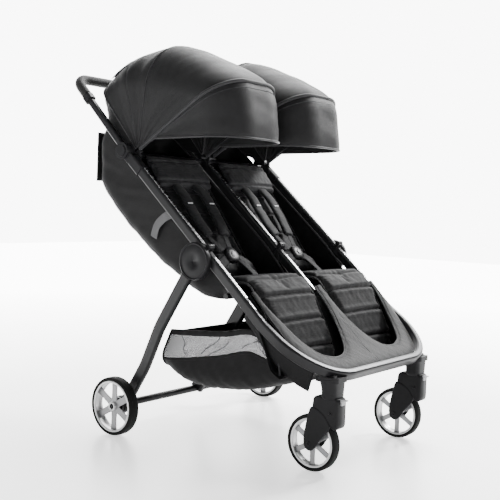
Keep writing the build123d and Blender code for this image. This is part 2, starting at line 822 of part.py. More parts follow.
def make_seats():
    for side, name in ((-1, "right"), (1, "left")):
        x0 = min(side * seat_inner, side * (seat_inner + seat_width))
        x1 = x0 + seat_width
        back = plate(
            x0,
            x1,
            [
                back_point(8, 0),
                back_point(back_length, 0),
                back_point(back_length, -back_thickness),
                back_point(8, -back_thickness),
            ],
        )
        back = fillet(back.edges().filter_by(Axis.X), 9)
        keep("seat_back_" + name, back)
        middle = (x0 + x1) / 2
        straps = []
        for hand in (-1, 1):
            strap_x = middle + hand * 48
            strap = plate(
                strap_x - 19,
                strap_x + 19,
                [
                    back_point(95, 0.4),
                    back_point(315, 0.4),
                    back_point(315, 10),
                    back_point(95, 12),
                ],
            )
            straps.append(strap)
        keep("shoulder_straps_" + name, straps)

    pads = []
    buckles = []
    for side in (-1, 1):
        x0 = min(side * seat_inner, side * (seat_inner + seat_width))
        x1 = x0 + seat_width
        surface = [
            (bight_behind - 10, bight_height - 6),
            (seat_crest_behind + 40, seat_crest_height - 6),
            (seat_crest_behind, seat_crest_height),
            (seat_crest_behind - 24, seat_crest_height - 20),
            (legrest_lower_ahead + 18, legrest_lower_height + 84),
            (legrest_lower_ahead, legrest_lower_height),
        ]
        pads.append(plate(x0, x1, band(surface, seat_thickness)))
        middle = (x0 + x1) / 2
        buckle = Pos(middle, seat_crest_behind + 92, seat_crest_height + 2) * Rot(8, 0, 0) * Box(46, 40, 12)
        buckles.append(buckle)
    keep("seat_pads", pads)
    keep("harness_buckles", buckles)


def make_hammock():
    """The dark cloth shells under and behind the seats, one for each, open at the front."""
    front = rail_foot - rail_dir * (seat_crossbar_along + 12) - rail_up * (rail_depth / 2 + 22)
    outline = [
        (knob.Y + 132, knob.Z + 74),
        (knob.Y + 152, knob.Z + 40),
        (knob.Y + 142, knob.Z - 96),
        (knob.Y + 102, knob.Z - 136),
        (hub_behind + 124, hub_height - 48),
        (hub_behind + 20, hub_height - 92),
        (front.Y, front.Z - 8),
    ]
    outer = half_spacing - rail_width / 2 - body_gap - sleeve_wall
    inner = rail_width / 2 + body_gap + 4
    rail_low = rail_foot - rail_up * 10
    sheet = outline + [
        (front.Y + 12, front.Z + 4),
        (rail_low.Y - 4, rail_low.Z - 6),
        (knob.Y - 70, knob.Z - 76),
        (knob.Y + 52, knob.Z + 20),
    ]
    shells = []
    for side in (-1, 1):
        x0 = min(side * inner, side * outer)
        x1 = max(side * inner, side * outer)
        wall = plate(x0, x1, band(outline, cloth))
        wall = wall + plate(x0, x0 + cloth, sheet) + plate(x1 - cloth, x1, sheet)
        wall = wall - made["seat_crossbar"][0]
        shells.append(wall - made["upper_rails"][2] - made["upper_rails"][3])
    keep("seat_hammock", shells)


def make_basket():
    """A shallow cloth tray between the rear legs and the front crossbar, open at the top."""
    leg = rear_axle - hub
    top_back = hub + leg * 0.50 + Vector(0, -basket_behind_gap, 0)
    low_back = hub + leg * 0.80 + Vector(0, -basket_behind_gap, 0)
    floor = [
        (top_back.Y, top_back.Z),
        (low_back.Y, low_back.Z),
        (low_back.Y - 50, basket_floor_height - 12),
        (low_back.Y - 170, basket_floor_height - 22),
        (legrest_lower_ahead + 30, basket_floor_height + 10),
        (-wheelbase + 24, stem_top - 12),
    ]
    wall = plate(-basket_half_width, basket_half_width, band(floor, cloth))
    sides = []
    for side in (-1, 1):
        inner = side * basket_half_width
        outer = side * (basket_half_width - cloth)
        sheet = floor[:-1] + [
            (legrest_lower_ahead + 46, legrest_lower_height - 20),
            (seat_crest_behind - 6, seat_crest_height - 150),
            (seat_crest_behind + 46, seat_crest_height - 150),
            (-250, top_back.Z + 2),
        ]
        sides.append(plate(min(inner, outer), max(inner, outer), sheet))
    keep("basket", wall + sides[0] + sides[1])


make_lower_frame()
make_seat_crossbar()
make_knuckles()
make_front_end()
make_rear_wheels()
make_casters()
make_rear_legs()
make_upper_frame()
make_handle_joints()
make_handle()
make_canopies()
make_seats()
make_hammock()
make_basket()

# the origin goes under the middle of the whole box
boxes = [s.bounding_box() for solids in made.values() for s in solids]
middle_y = (min(b.min.Y for b in boxes) + max(b.max.Y for b in boxes)) / 2
print("whole box, mm:", [round(v, 2) for v in (
    min(b.min.X for b in boxes), max(b.max.X for b in boxes),
    min(b.min.Y for b in boxes), max(b.max.Y for b in boxes),
    min(b.min.Z for b in boxes), max(b.max.Z for b in boxes))])
print("moved along Y by", round(-middle_y, 4), "and", len(made), "nodes")
for name, solids in made.items():
    shape = Compound(children=[Pos(0, -middle_y, 0) * s for s in solids])
    export_step(shape, f"parts/{name}.step")
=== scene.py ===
import json
from math import cos, pi, radians, sin

import bmesh
import bpy
import numpy as np
from mathutils import Matrix, Vector


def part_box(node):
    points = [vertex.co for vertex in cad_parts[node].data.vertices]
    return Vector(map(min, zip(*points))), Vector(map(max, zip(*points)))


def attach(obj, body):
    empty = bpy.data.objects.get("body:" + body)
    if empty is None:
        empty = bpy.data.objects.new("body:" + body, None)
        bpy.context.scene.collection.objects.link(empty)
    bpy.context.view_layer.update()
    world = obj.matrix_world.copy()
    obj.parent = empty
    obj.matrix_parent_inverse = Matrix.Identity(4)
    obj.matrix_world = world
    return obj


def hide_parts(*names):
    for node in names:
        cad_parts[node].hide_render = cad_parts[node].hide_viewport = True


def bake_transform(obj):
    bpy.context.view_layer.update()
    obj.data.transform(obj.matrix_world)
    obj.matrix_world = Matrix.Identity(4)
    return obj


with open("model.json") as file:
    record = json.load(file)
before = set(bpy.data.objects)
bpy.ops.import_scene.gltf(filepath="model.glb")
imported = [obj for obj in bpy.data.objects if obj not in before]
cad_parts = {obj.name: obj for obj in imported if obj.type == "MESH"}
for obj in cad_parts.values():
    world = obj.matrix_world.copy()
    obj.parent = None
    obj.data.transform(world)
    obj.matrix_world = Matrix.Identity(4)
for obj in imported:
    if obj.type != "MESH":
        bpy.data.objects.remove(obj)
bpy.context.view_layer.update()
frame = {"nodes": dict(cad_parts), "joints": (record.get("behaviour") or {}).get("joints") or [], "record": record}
record = frame["record"]
joints = {j["name"]: j for j in frame["joints"]}
sides = ((-1, "right"), (1, "left"))


def jointAt(name):
    return np.array(joints[name]["pos_m"], float)


knob = jointAt("handle_fold")
hub = jointAt("rear_frame_fold")
foldAxis = jointAt("frame_fold")
canopyPivot = jointAt("canopy_mid_left_tilt") * (0, 1, 1)
bight = jointAt("seat_back_left_recline") * (0, 1, 1)
rearAxle = jointAt("rear_wheel_left_spin")
frontAxle = jointAt("front_wheel_left_spin")
stemAxis = jointAt("caster_left_swivel")
gripTop = np.array(record["mounts"][0]["pos_m"], float)
railAngle = radians(41)
railDir = np.array([0, cos(railAngle), sin(railAngle)])
railUp = np.array([0, -sin(railAngle), cos(railAngle)])
railFoot = foldAxis - railUp * 0.024
print("stage: frame loaded")


# shared numpy helpers
def smoothPath(points, count):
    # cubic Hermite through the points, slopes by differences, samples even in chord length
    p = np.asarray(points, float)
    seg = np.linalg.norm(np.diff(p, axis=0), axis=1)
    t = np.concatenate([[0], np.cumsum(seg)])
    m = np.gradient(p, t, axis=0)
    s = np.linspace(0, t[-1], count)
    i = np.clip(np.searchsorted(t, s, side="right") - 1, 0, len(seg) - 1)
    h = seg[i][:, None]
    u = (s - t[i])[:, None] / h
    return (
        (2 * u**3 - 3 * u**2 + 1) * p[i]
        + (u**3 - 2 * u**2 + u) * h * m[i]
        + (3 * u**2 - 2 * u**3) * p[i + 1]
        + (u**3 - u**2) * h * m[i + 1]
    )


def closedPath(points, count):
    # the same curve through a closed ring of points
    p = np.asarray(points, float)
    ring = np.concatenate([p[-3:], p, p[:4]])
    seg = np.linalg.norm(np.diff(ring, axis=0), axis=1)
    t = np.concatenate([[0], np.cumsum(seg)])
    dense = smoothPath(ring, 4000)
    s = np.linspace(0, t[-1], 4000)
    want = np.linspace(t[3], t[3 + len(p)], count, endpoint=False)
    return np.stack([np.interp(want, s, dense[:, k]) for k in range(3)], -1)


def smoothValue(x, xs, ys):
    # cubic Hermite of one number against another
    xs, ys = np.asarray(xs, float), np.asarray(ys, float)
    m = np.gradient(ys, xs)
    i = np.clip(np.searchsorted(xs, x, side="right") - 1, 0, len(xs) - 2)
    h = xs[i + 1] - xs[i]
    u = np.clip((x - xs[i]) / h, 0, 1)
    return (
        (2 * u**3 - 3 * u**2 + 1) * ys[i]
        + (u**3 - 2 * u**2 + u) * h * m[i]
        + (3 * u**2 - 2 * u**3) * ys[i + 1]
        + (u**3 - u**2) * h * m[i + 1]
    )


def unit(v):
    # each vector over its own length
    return v / np.maximum(np.linalg.norm(v, axis=-1, keepdims=True), 1e-9)


def normals(grid):
    # cross product of the two directions' differences
    du = np.gradient(grid, axis=0)
    dv = np.gradient(grid, axis=1)
    return unit(np.cross(du, dv))


def archPoints(s, width, height, corner):
    # round-shouldered arch: side, quarter circle, top, quarter circle, side; s from 0 to 1 by length
    corner = np.minimum(corner, np.minimum(height, width / 2) * 0.98)
    side, top, arc = height - corner, width - 2 * corner, corner * pi / 2
    d = s * (2 * side + top + 2 * arc)
    a = np.clip((d - side) / corner, 0, pi / 2)
    b = np.clip((d - side - arc - top) / corner, 0, pi / 2)
    x = -width / 2 + corner * (1 - np.cos(a)) + np.clip(d - side - arc, 0, top) + corner * np.sin(b)
    h = np.clip(d, 0, side) + corner * np.sin(a) - corner * (1 - np.cos(b))
    return x, h - np.clip(d - side - 2 * arc - top, 0, None)


def ripple(a, b, seed, waves=7, size=1.0):
    # sum of sines in two directions with seeded phases, about -1 to 1
    rng = np.random.default_rng(seed)
    total = 0
    for k in range(waves):
        fa, fb = rng.uniform(0.5, 3.2, 2) * size * (1 + 0.4 * k)
        total = total + np.sin(a * fa * 2 * pi + rng.uniform(0, 6.3)) * np.cos(
            b * fb * 2 * pi + rng.uniform(0, 6.3)
        ) / (1 + 0.5 * k)
    return total / 2.4


def addMesh(name, verts, faces, uv, material):
    # a mesh from arrays, its normals turned outwards
    mesh = bpy.data.meshes.new(name)
    mesh.from_pydata(verts.reshape(-1, 3).tolist(), [], faces.tolist())
    if uv is not None:
        layer = mesh.uv_layers.new(name="cloth")
        layer.data.foreach_set("uv", uv.astype(np.float32).ravel())
    bm = bmesh.new()
    bm.from_mesh(mesh)
    bmesh.ops.recalc_face_normals(bm, faces=bm.faces)
    bm.to_mesh(mesh)
    bm.free()
    mesh.shade_smooth()
    mesh.materials.append(material)
    obj = bpy.data.objects.new(name, mesh)
    bpy.context.scene.collection.objects.link(obj)
    return obj


def surface(name, grid, material, wrapU=False, wrapV=False):
    # a grid of points (rows, columns) as quads; texture coordinates are lengths along both ways
    nu, nv = grid.shape[:2]
    a, b = np.meshgrid(
        np.arange(nu if wrapU else nu - 1), np.arange(nv if wrapV else nv - 1), indexing="ij"
    )
    a, b = a.ravel(), b.ravel()
    ua = np.stack([a, a + 1, a + 1, a], -1)
    vb = np.stack([b, b, b + 1, b + 1], -1)
    faces = (ua % nu) * nv + vb % nv
    lu = np.linalg.norm(np.diff(grid[:, nv // 2], axis=0, append=grid[:1, nv // 2]), axis=1)
    lv = np.linalg.norm(np.diff(grid[nu // 2], axis=0, append=grid[nu // 2, :1]), axis=1)
    lu, lv = np.concatenate([[0], np.cumsum(lu)]), np.concatenate([[0], np.cumsum(lv)])
    uv = np.stack([lv[vb], lu[ua]], -1)
    return addMesh(name, grid, faces, uv, material)


def sheetMesh(name, grid, thickness, material):
    # the grid thickened both ways along its normals and closed all round
    n = normals(grid)
    outer, inner = grid + n * thickness / 2, grid - n * thickness / 2
    nu, nv = grid.shape[:2]
    verts = np.concatenate([outer.reshape(-1, 3), inner.reshape(-1, 3)])
    a, b = np.meshgrid(np.arange(nu - 1), np.arange(nv - 1), indexing="ij")
    a, b = a.ravel(), b.ravel()
    quad = np.stack([a * nv + b, (a + 1) * nv + b, (a + 1) * nv + b + 1, a * nv + b + 1], -1)
    far = nu * nv
    i, j = np.arange(nu - 1), np.arange(nv - 1)
    rim = [
        np.stack([i * nv, (i + 1) * nv, (i + 1) * nv + far, i * nv + far], -1),
        np.stack([i * nv, (i + 1) * nv, (i + 1) * nv + far, i * nv + far], -1) + nv - 1,
        np.stack([j, j + 1, j + 1 + far, j + far], -1),
        np.stack([j, j + 1, j + 1 + far, j + far], -1) + (nu - 1) * nv,
    ]
    faces = np.concatenate([quad, quad[:, ::-1] + far] + rim)
    lu = np.concatenate([[0], np.cumsum(np.linalg.norm(np.diff(grid[:, nv // 2], axis=0), axis=1))])
    lv = np.concatenate([[0], np.cumsum(np.linalg.norm(np.diff(grid[nu // 2], axis=0), axis=1))])
    flat = np.stack(np.meshgrid(lv, lu), -1).reshape(-1, 2)
    uv = np.concatenate([flat, flat])[faces.ravel()]
    return addMesh(name, verts, faces, uv, material)


def sweep(name, path, rx, ry, material, ref=(1, 0, 0), sidesN=14, power=2.0, closed=False):
    # a superellipse section carried along the path; ref is the way its thin side faces
    path = np.asarray(path, float)
    if closed:
        t = unit(np.roll(path, -1, 0) - np.roll(path, 1, 0))
    else:
        t = unit(np.gradient(path, axis=0))
    ref = np.broadcast_to(np.asarray(ref, float), path.shape)
    n = unit(ref - (ref * t).sum(-1, keepdims=True) * t)
    b = np.cross(t, n)
    rx = np.broadcast_to(np.asarray(rx, float), len(path)).copy()
    ry = np.broadcast_to(np.asarray(ry, float), len(path)).copy()
    if not closed:
        ends = [0, 0, *range(len(path)), len(path) - 1, len(path) - 1]
        shrink = np.ones(len(ends))
        shrink[[0, 1, -2, -1]] = [0.001, 0.72, 0.72, 0.001]
        push = np.zeros(len(ends))
        push[[0, 1, -2, -1]] = [-0.7, -0.5, 0.5, 0.7]
        path = path[ends] + t[ends] * (push * np.minimum(rx, ry)[ends])[:, None]
        n, b, rx, ry = n[ends], b[ends], rx[ends] * shrink, ry[ends] * shrink
    a = np.linspace(0, 2 * pi, sidesN, endpoint=False)
    c = np.sign(np.cos(a)) * np.abs(np.cos(a)) ** (2 / power)
    s = np.sign(np.sin(a)) * np.abs(np.sin(a)) ** (2 / power)
    grid = (
        path[:, None]
        + b[:, None] * (rx[:, None] * c)[..., None]
        + n[:, None] * (ry[:, None] * s)[..., None]
    )
    return surface(name, grid, material, wrapU=closed, wrapV=True)


def lathe(name, profile, centre, material, side=1, steps=72):
    # (radius, along X) pairs turned about an X axis through the centre, the profile a closed ring
    p = np.asarray(profile, float)
    a = np.linspace(0, 2 * pi, steps, endpoint=False)[:, None]
    grid = np.stack(
        [
            np.broadcast_to(side * p[:, 1], (steps, len(p))),
            p[:, 0] * np.cos(a),
            p[:, 0] * np.sin(a),
        ],
        -1,
    ) + np.asarray(centre)
    return surface(name, grid, material, wrapU=True, wrapV=True)


def roundedLoop(outline, radius, steps=5):
    # each corner of a closed 2-D outline cut back and rounded by a quadratic curve
    p = np.asarray(outline, float)
    before, after = np.roll(p, 1, 0), np.roll(p, -1, 0)
    la = np.linalg.norm(before - p, axis=1, keepdims=True)
    lb = np.linalg.norm(after - p, axis=1, keepdims=True)
    a = p + (before - p) / la * np.minimum(radius, la * 0.45)
    b = p + (after - p) / lb * np.minimum(radius, lb * 0.45)
    t = np.linspace(0, 1, steps)[None, :, None]
    q = (1 - t) ** 2 * a[:, None] + 2 * t * (1 - t) * p[:, None] + t**2 * b[:, None]
    return q.reshape(-1, 2)


def pillow(name, outline, x0, x1, material, crown=0.0015, edge=0.0015):
    # an outline in the YZ plane filled from its middle, both faces crowned and the edge rounded
    ring = np.asarray(outline, float)
    mid = ring.mean(0)
    reach = np.linalg.norm(ring - mid, axis=1, keepdims=True)
    layers = [(0.0, 0.0, 0), (0.35, 0.08, 0), (0.7, 0.45, 0), (0.9, 0.85, 0), (1, 1, edge), (1, 1, 0)]
    rows = []
    for side in (0, 1):
        x, way = (x0, 1) if side == 0 else (x1, -1)
        for share, low, cut in layers if side == 0 else layers[::-1]:
            flat = mid + (ring - mid) * share * (1 - (cut / reach if share == 1 else 0))
            depth = crown * low + (edge if share == 1 and cut == 0 else 0)
            rows.append(np.column_stack([np.full(len(flat), x + way * depth), flat]))
    return surface(name, np.array(rows), material, wrapV=True)


def place(piece, body, slot, *nodes):
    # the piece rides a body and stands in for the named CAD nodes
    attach(piece, body)
    if nodes:
        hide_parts(*nodes)
    return piece


# shader node groups and materials
def node(tree, kind, inputs=None, **props):
    n = tree.nodes.new(kind)
    for key, value in props.items():
        setattr(n, key, value)
    for key, value in (inputs or {}).items():
        if isinstance(value, bpy.types.NodeSocket):
            tree.links.new(value, n.inputs[key])
        else:
            n.inputs[key].default_value = value
    return n


def mathNode(tree, operation, *values):
    n = node(tree, "ShaderNodeMath", dict(enumerate(values)), operation=operation)
    return n.outputs[0]


def group(name, inputs, outputs, build):
    tree = bpy.data.node_groups.new(name, "ShaderNodeTree")
    for label, kind, value in inputs:
        socket = tree.interface.new_socket(name=label, in_out="INPUT", socket_type=kind)
        if value is not None:
            socket.default_value = value
    for label, kind in outputs:
        tree.interface.new_socket(name=label, in_out="OUTPUT", socket_type=kind)
    build(tree, tree.nodes.new("NodeGroupInput").outputs, tree.nodes.new("NodeGroupOutput").inputs)
    return tree


floatKind, vectorKind = "NodeSocketFloat", "NodeSocketVector"


def buildGrain(tree, given, result):
    # fine and broad noise, blended to one height and one mask
    fine = node(tree, "ShaderNodeTexNoise", {"Vector": given["Vector"], "Scale": given["Scale"],
        "Detail": 2})
    broad = node(tree, "ShaderNodeTexNoise", {"Vector": given["Vector"], "Scale": 7, "Detail": 3})
    tree.links.new(fine.outputs[0], result["Height"])
    tree.links.new(mathNode(tree, "MULTIPLY", broad.outputs[0], broad.outputs[0]), result["Mask"])


def buildWeave(tree, given, result):
    # two crossed sine bands; the higher one is the thread on top
    parts = node(tree, "ShaderNodeSeparateXYZ", {"Vector": given["Vector"]})
    turns = mathNode(tree, "MULTIPLY", given["Threads"], 2 * pi)
    u = mathNode(tree, "SINE", mathNode(tree, "MULTIPLY", parts.outputs[0], turns))
    v = mathNode(tree, "SINE", mathNode(tree, "MULTIPLY", parts.outputs[1], turns))
    product = mathNode(tree, "MULTIPLY", u, v)
    tree.links.new(mathNode(tree, "MULTIPLY_ADD", product, 0.5, 0.5), result["Height"])
    broad = node(tree, "ShaderNodeTexNoise", {"Vector": given["Vector"], "Scale": 9, "Detail": 4})
    tree.links.new(broad.outputs[0], result["Mask"])


def buildHeather(tree, given, result):
    # noise stretched along X, as in a yarn-dyed cloth
    stretch = node(tree, "ShaderNodeVectorMath", {0: given["Vector"], 1: (0.09, 1, 1)},
        operation="MULTIPLY")
    streak = node(tree, "ShaderNodeTexNoise", {"Vector": stretch.outputs[0], "Scale": given["Scale"],
        "Detail": 3, "Roughness": 0.7})
    tree.links.new(streak.outputs[0], result["Height"])
    steep = node(tree, "ShaderNodeMapRange", {"Value": streak.outputs[0], "From Min": 0.38,
        "From Max": 0.66})
    tree.links.new(steep.outputs[0], result["Mask"])


def buildEdge(tree, given, result):
    # the normal rounded over sharp edges within the radius
    bevel = node(tree, "ShaderNodeBevel", {"Radius": given["Radius"]}, samples=4)
    tree.links.new(bevel.outputs[0], result["Normal"])


def buildFacing(tree, given, result):
    # 1 where the piece's own normal points along the given direction; the mask of the painted highlight strip
    coords = node(tree, "ShaderNodeTexCoord")
    dot = node(tree, "ShaderNodeVectorMath", {0: coords.outputs["Normal"], 1: given["Direction"]},
        operation="DOT_PRODUCT")
    ramp = node(tree, "ShaderNodeMapRange", {"Value": dot.outputs["Value"], "From Min": given["Start"],
        "From Max": given["End"]})
    tree.links.new(ramp.outputs[0], result["Mask"])


vectorIn = ("Vector", vectorKind, None)
heightMask = [("Height", floatKind), ("Mask", floatKind)]
grainGroup = group("grain", [vectorIn, ("Scale", floatKind, 900)], heightMask, buildGrain)
weaveGroup = group("weave", [vectorIn, ("Threads", floatKind, 700)], heightMask, buildWeave)
heatherGroup = group("heather", [vectorIn, ("Scale", floatKind, 420)], heightMask, buildHeather)
edgeGroup = group("edge", [("Radius", floatKind, 0.001)], [("Normal", vectorKind)], buildEdge)
facingGroup = group(
    "facing",
    [("Direction", vectorKind, (0, 0, 1)), ("Start", floatKind, 0.9), ("End", floatKind, 0.95)],
    [("Mask", floatKind)],
    buildFacing,
)


def use(tree, shared, inputs=None):
    return node(tree, "ShaderNodeGroup", inputs, node_tree=shared).outputs


def mixColor(tree, factor, dark, light):
    n = tree.nodes.new("ShaderNodeMix")
    n.data_type = "RGBA"
    tree.links.new(factor, n.inputs[0])
    for index, value in ((6, dark), (7, light)):
        if isinstance(value, bpy.types.NodeSocket):
            tree.links.new(value, n.inputs[index])
        else:
            n.inputs[index].default_value = (*value, 1)
    return n.outputs[2]


def makeMaterial(name, dark, light, rough, shared, coords="Object", bump=0.1, distance=0.0003, metal=0.0,
                 sheen=0.0, coat=0.0, bevel=0.0, setting=None, roughSpread=0.12, alpha=1.0, specular=0.09):
    # one Principled surface: colour and roughness from the group's mask, bump from its height
    mat = bpy.data.materials.new(name)
    mat.use_nodes = True
    tree = mat.node_tree
    shader = next(n for n in tree.nodes if n.type == "BSDF_PRINCIPLED")
    where = node(tree, "ShaderNodeTexCoord").outputs[coords]
    out = use(tree, shared, {"Vector": where, **(setting or {})})
    tree.links.new(mixColor(tree, out["Mask"], dark, light), shader.inputs["Base Color"])
    spread = node(tree, "ShaderNodeMapRange", {"Value": out["Mask"], "To Min": rough - roughSpread / 2,
        "To Max": rough + roughSpread / 2})
    tree.links.new(spread.outputs[0], shader.inputs["Roughness"])
    normal = {"Height": out["Height"], "Strength": bump, "Distance": distance}
    if bevel:
        normal["Normal"] = use(tree, edgeGroup, {"Radius": bevel})["Normal"]
    tree.links.new(node(tree, "ShaderNodeBump", normal).outputs[0], shader.inputs["Normal"])
    shader.inputs["Metallic"].default_value = metal
    shader.inputs["Specular IOR Level"].default_value = specular
    shader.inputs["Sheen Weight"].default_value = sheen
    shader.inputs["Sheen Roughness"].default_value = 0.45
    shader.inputs["Coat Weight"].default_value = coat
    shader.inputs["Coat Roughness"].default_value = 0.2
    shader.inputs["Alpha"].default_value = alpha
    return mat


frameBlack = makeMaterial("frameBlack", (0.005, 0.005, 0.0055), (0.010, 0.010, 0.011), 0.36, grainGroup,
    bump=0.12, coat=0.02, bevel=0.0012, specular=0.14)
plasticBlack = makeMaterial("plasticBlack", (0.006, 0.006, 0.0065), (0.011, 0.011, 0.012), 0.46, grainGroup,
    bump=0.3, bevel=0.0012, setting={"Scale": 1300})
plasticSmooth = makeMaterial("plasticSmooth", (0.007, 0.007, 0.0075), (0.011, 0.011, 0.012), 0.36,
    grainGroup, bump=0.06, bevel=0.001)
lockGrey = makeMaterial("lockGrey", (0.3, 0.3, 0.31), (0.38, 0.38, 0.39), 0.4, grainGroup, bump=0.1,
    bevel=0.0008)
rubber = makeMaterial("rubber", (0.005, 0.005, 0.005), (0.011, 0.011, 0.0105), 0.72, grainGroup, bump=0.4,
    setting={"Scale": 700})
silver = makeMaterial("rimSilver", (0.5, 0.5, 0.505), (0.6, 0.6, 0.605), 0.34, grainGroup, bump=0.04,
    metal=0.75, bevel=0.0006, specular=0.5)
# painted shade: the blades' silver is the rim silver made darker, so the flat blades read as shaded
bladeSilver = makeMaterial("bladeSilver", (0.2, 0.2, 0.205), (0.29, 0.29, 0.295), 0.42, grainGroup,
    bump=0.04, metal=0.75, bevel=0.0006, specular=0.5)
brightTrim = makeMaterial("brightTrim", (0.6, 0.6, 0.61), (0.75, 0.75, 0.76), 0.26, heatherGroup, bump=0.05,
    metal=1.0, setting={"Scale": 260})
steel = makeMaterial("steel", (0.5, 0.5, 0.5), (0.62, 0.62, 0.62), 0.3, grainGroup, bump=0.05, metal=1.0)
gripLeather = makeMaterial("gripLeather", (0.006, 0.006, 0.006), (0.013, 0.013, 0.013), 0.5, grainGroup,
    bump=0.5, setting={"Scale": 480}, sheen=0.1)
canopyCloth = makeMaterial("canopyCloth", (0.005, 0.005, 0.0053), (0.009, 0.009, 0.0094), 0.5, weaveGroup,
    coords="UV", bump=0.35, sheen=0.02, setting={"Threads": 900}, specular=0.1)
pipingCloth = makeMaterial("pipingCloth", (0.010, 0.010, 0.0105), (0.018, 0.018, 0.019), 0.45, weaveGroup,
    coords="UV", bump=0.3, sheen=0.05, setting={"Threads": 800})
hammockCloth = makeMaterial("hammockCloth", (0.003, 0.003, 0.0032), (0.006, 0.006, 0.0063), 0.6, weaveGroup,
    coords="UV", bump=0.35, setting={"Threads": 700})
seatCloth = makeMaterial("seatCloth", (0.0025, 0.0025, 0.0027), (0.013, 0.013, 0.0135), 0.66, heatherGroup,
    bump=0.6, distance=0.0007, sheen=0.02, setting={"Scale": 520})
backCloth = makeMaterial("backCloth", (0.003, 0.003, 0.0035), (0.016, 0.016, 0.017), 0.62, heatherGroup,
    bump=0.6, distance=0.0007, sheen=0.04, setting={"Scale": 300})
panelCloth = makeMaterial("panelCloth", (0.003, 0.003, 0.0032), (0.005, 0.005, 0.0053), 0.55, weaveGroup,
    coords="UV", bump=0.25, sheen=0.04, setting={"Threads": 900})
webbing = makeMaterial("webbing", (0.009, 0.009, 0.01), (0.018, 0.018, 0.019), 0.6, weaveGroup, coords="UV",
    bump=0.6, setting={"Threads": 500})
webbingGrey = makeMaterial("webbingGrey", (0.05, 0.05, 0.052), (0.075, 0.075, 0.077), 0.6, weaveGroup,
    coords="UV", bump=0.6, setting={"Threads": 500})
netPale = makeMaterial("netPale", (0.36, 0.36, 0.365), (0.55, 0.55, 0.56), 0.8, weaveGroup, coords="UV",
    bump=0.5, alpha=0.38, setting={"Threads": 330})
reflectTape = makeMaterial("reflectTape", (0.4, 0.4, 0.41), (0.55, 0.55, 0.56), 0.4, grainGroup, bump=0.1)


def highlightStripFrame(name, direction, start, end, highlightTone):
    # black coat with a painted highlight: a bright metallic strip where the tube's face looks along the direction
    mat = frameBlack.copy()
    mat.name = name
    tree = mat.node_tree
    shader = next(n for n in tree.nodes if n.type == "BSDF_PRINCIPLED")
    mask = use(tree, facingGroup, {"Direction": direction, "Start": start, "End": end})["Mask"]
    old = shader.inputs["Base Color"].links[0].from_socket
    tree.links.new(mixColor(tree, mask, old, highlightTone), shader.inputs["Base Color"])
    tree.links.new(mask, shader.inputs["Metallic"])
    return mat


cadMaterials = {
    "frame_black": frameBlack,
    "bright_trim": brightTrim,
    "black_plastic": plasticBlack,
    "tyre": rubber,
    "rim_silver": silver,
    "grip": gripLeather,
    "canopy_cloth": canopyCloth,
    "seat_cloth": seatCloth,
    "hammock_cloth": hammockCloth,
    "basket_cloth": hammockCloth,
    "webbing": webbing,
    "steel": steel,
}
slotOf = {part["node"]: part["material_slot"] for part in record["subparts"]}
for nodeName, nodeObject in frame["nodes"].items():
    for materialSlot in nodeObject.material_slots:
        materialSlot.material = cadMaterials[slotOf[nodeName]]
# painted highlight: a light metallic strip along the front loop's upper front face, standing for the lamps' glint
# on the tube
loopSlope = radians(34.2)
loopHighlightMaterial = highlightStripFrame("loopFrame", (0, -sin(loopSlope), cos(loopSlope)), 0.968, 0.998,
    (0.045, 0.045, 0.047))
for materialSlot in frame["nodes"]["front_loop"].material_slots:
    materialSlot.material = loopHighlightMaterial
for name in ("swivel_lock_left", "swivel_lock_right"):
    for materialSlot in frame["nodes"][name].material_slots:
        materialSlot.material = lockGrey
for name in ("handle_joints", "handle_collars", "fold_button_left", "fold_button_right"):
    for materialSlot in frame["nodes"][name].material_slots:
        materialSlot.material = plasticSmooth
print("stage: materials")


# canopies: two curved sheets a side, meeting at the middle bow; angles in degrees about the hinge line
rearEdge, rearRib, midBow, frontBow, hemEdge = 47.5, 74, 97, 148, 174
canopySpec = dict(
    angles=(47.5, 60, 74, 97, 117, 132, 148, 160, 174),
    reaches=(0.274, 0.290, 0.306, 0.326, 0.333, 0.349, 0.376, 0.368, 0.353),
    corners=(0.062, 0.078, 0.108, 0.138, 0.136, 0.124, 0.110, 0.110, 0.112),
    start=0.013, inner=0.0185, outer=0.3125, centre=0.165, hemRise=0.037, rows=90, columns=84,
    hoopInset=0.0075, hoopRadius=0.0028, frontHoopCut=0.05,
)


def canopyGrid(theta, s, side, lift=0.0):
    # at each angle about the hinge line an arch of that angle's reach, rolled from rear to front
    spec = canopySpec
    reach = smoothValue(theta, spec["angles"], spec["reaches"]) + lift
    width = spec["outer"] - spec["inner"] + 2 * lift
    corner = smoothValue(theta, spec["angles"], spec["corners"])
    x, h = archPoints(s, width, reach - spec["start"], corner)
    middle = side * (spec["outer"] + spec["inner"]) / 2
    r = spec["start"] + h
    # past the rolled piping the angles are drawn together so the hem lies level
    hem = 180 - np.degrees(np.arcsin(np.clip(spec["hemRise"] / r, 0, 0.5299)))
    angle = np.radians(np.where(theta > frontBow,
        frontBow + (theta - frontBow) / (hemEdge - frontBow) * (hem - frontBow), theta))
    return np.stack(
        [
            middle + side * x,
            canopyPivot[1] + r * np.cos(angle),
            canopyPivot[2] + r * np.sin(angle),
        ],
        -1,
    )


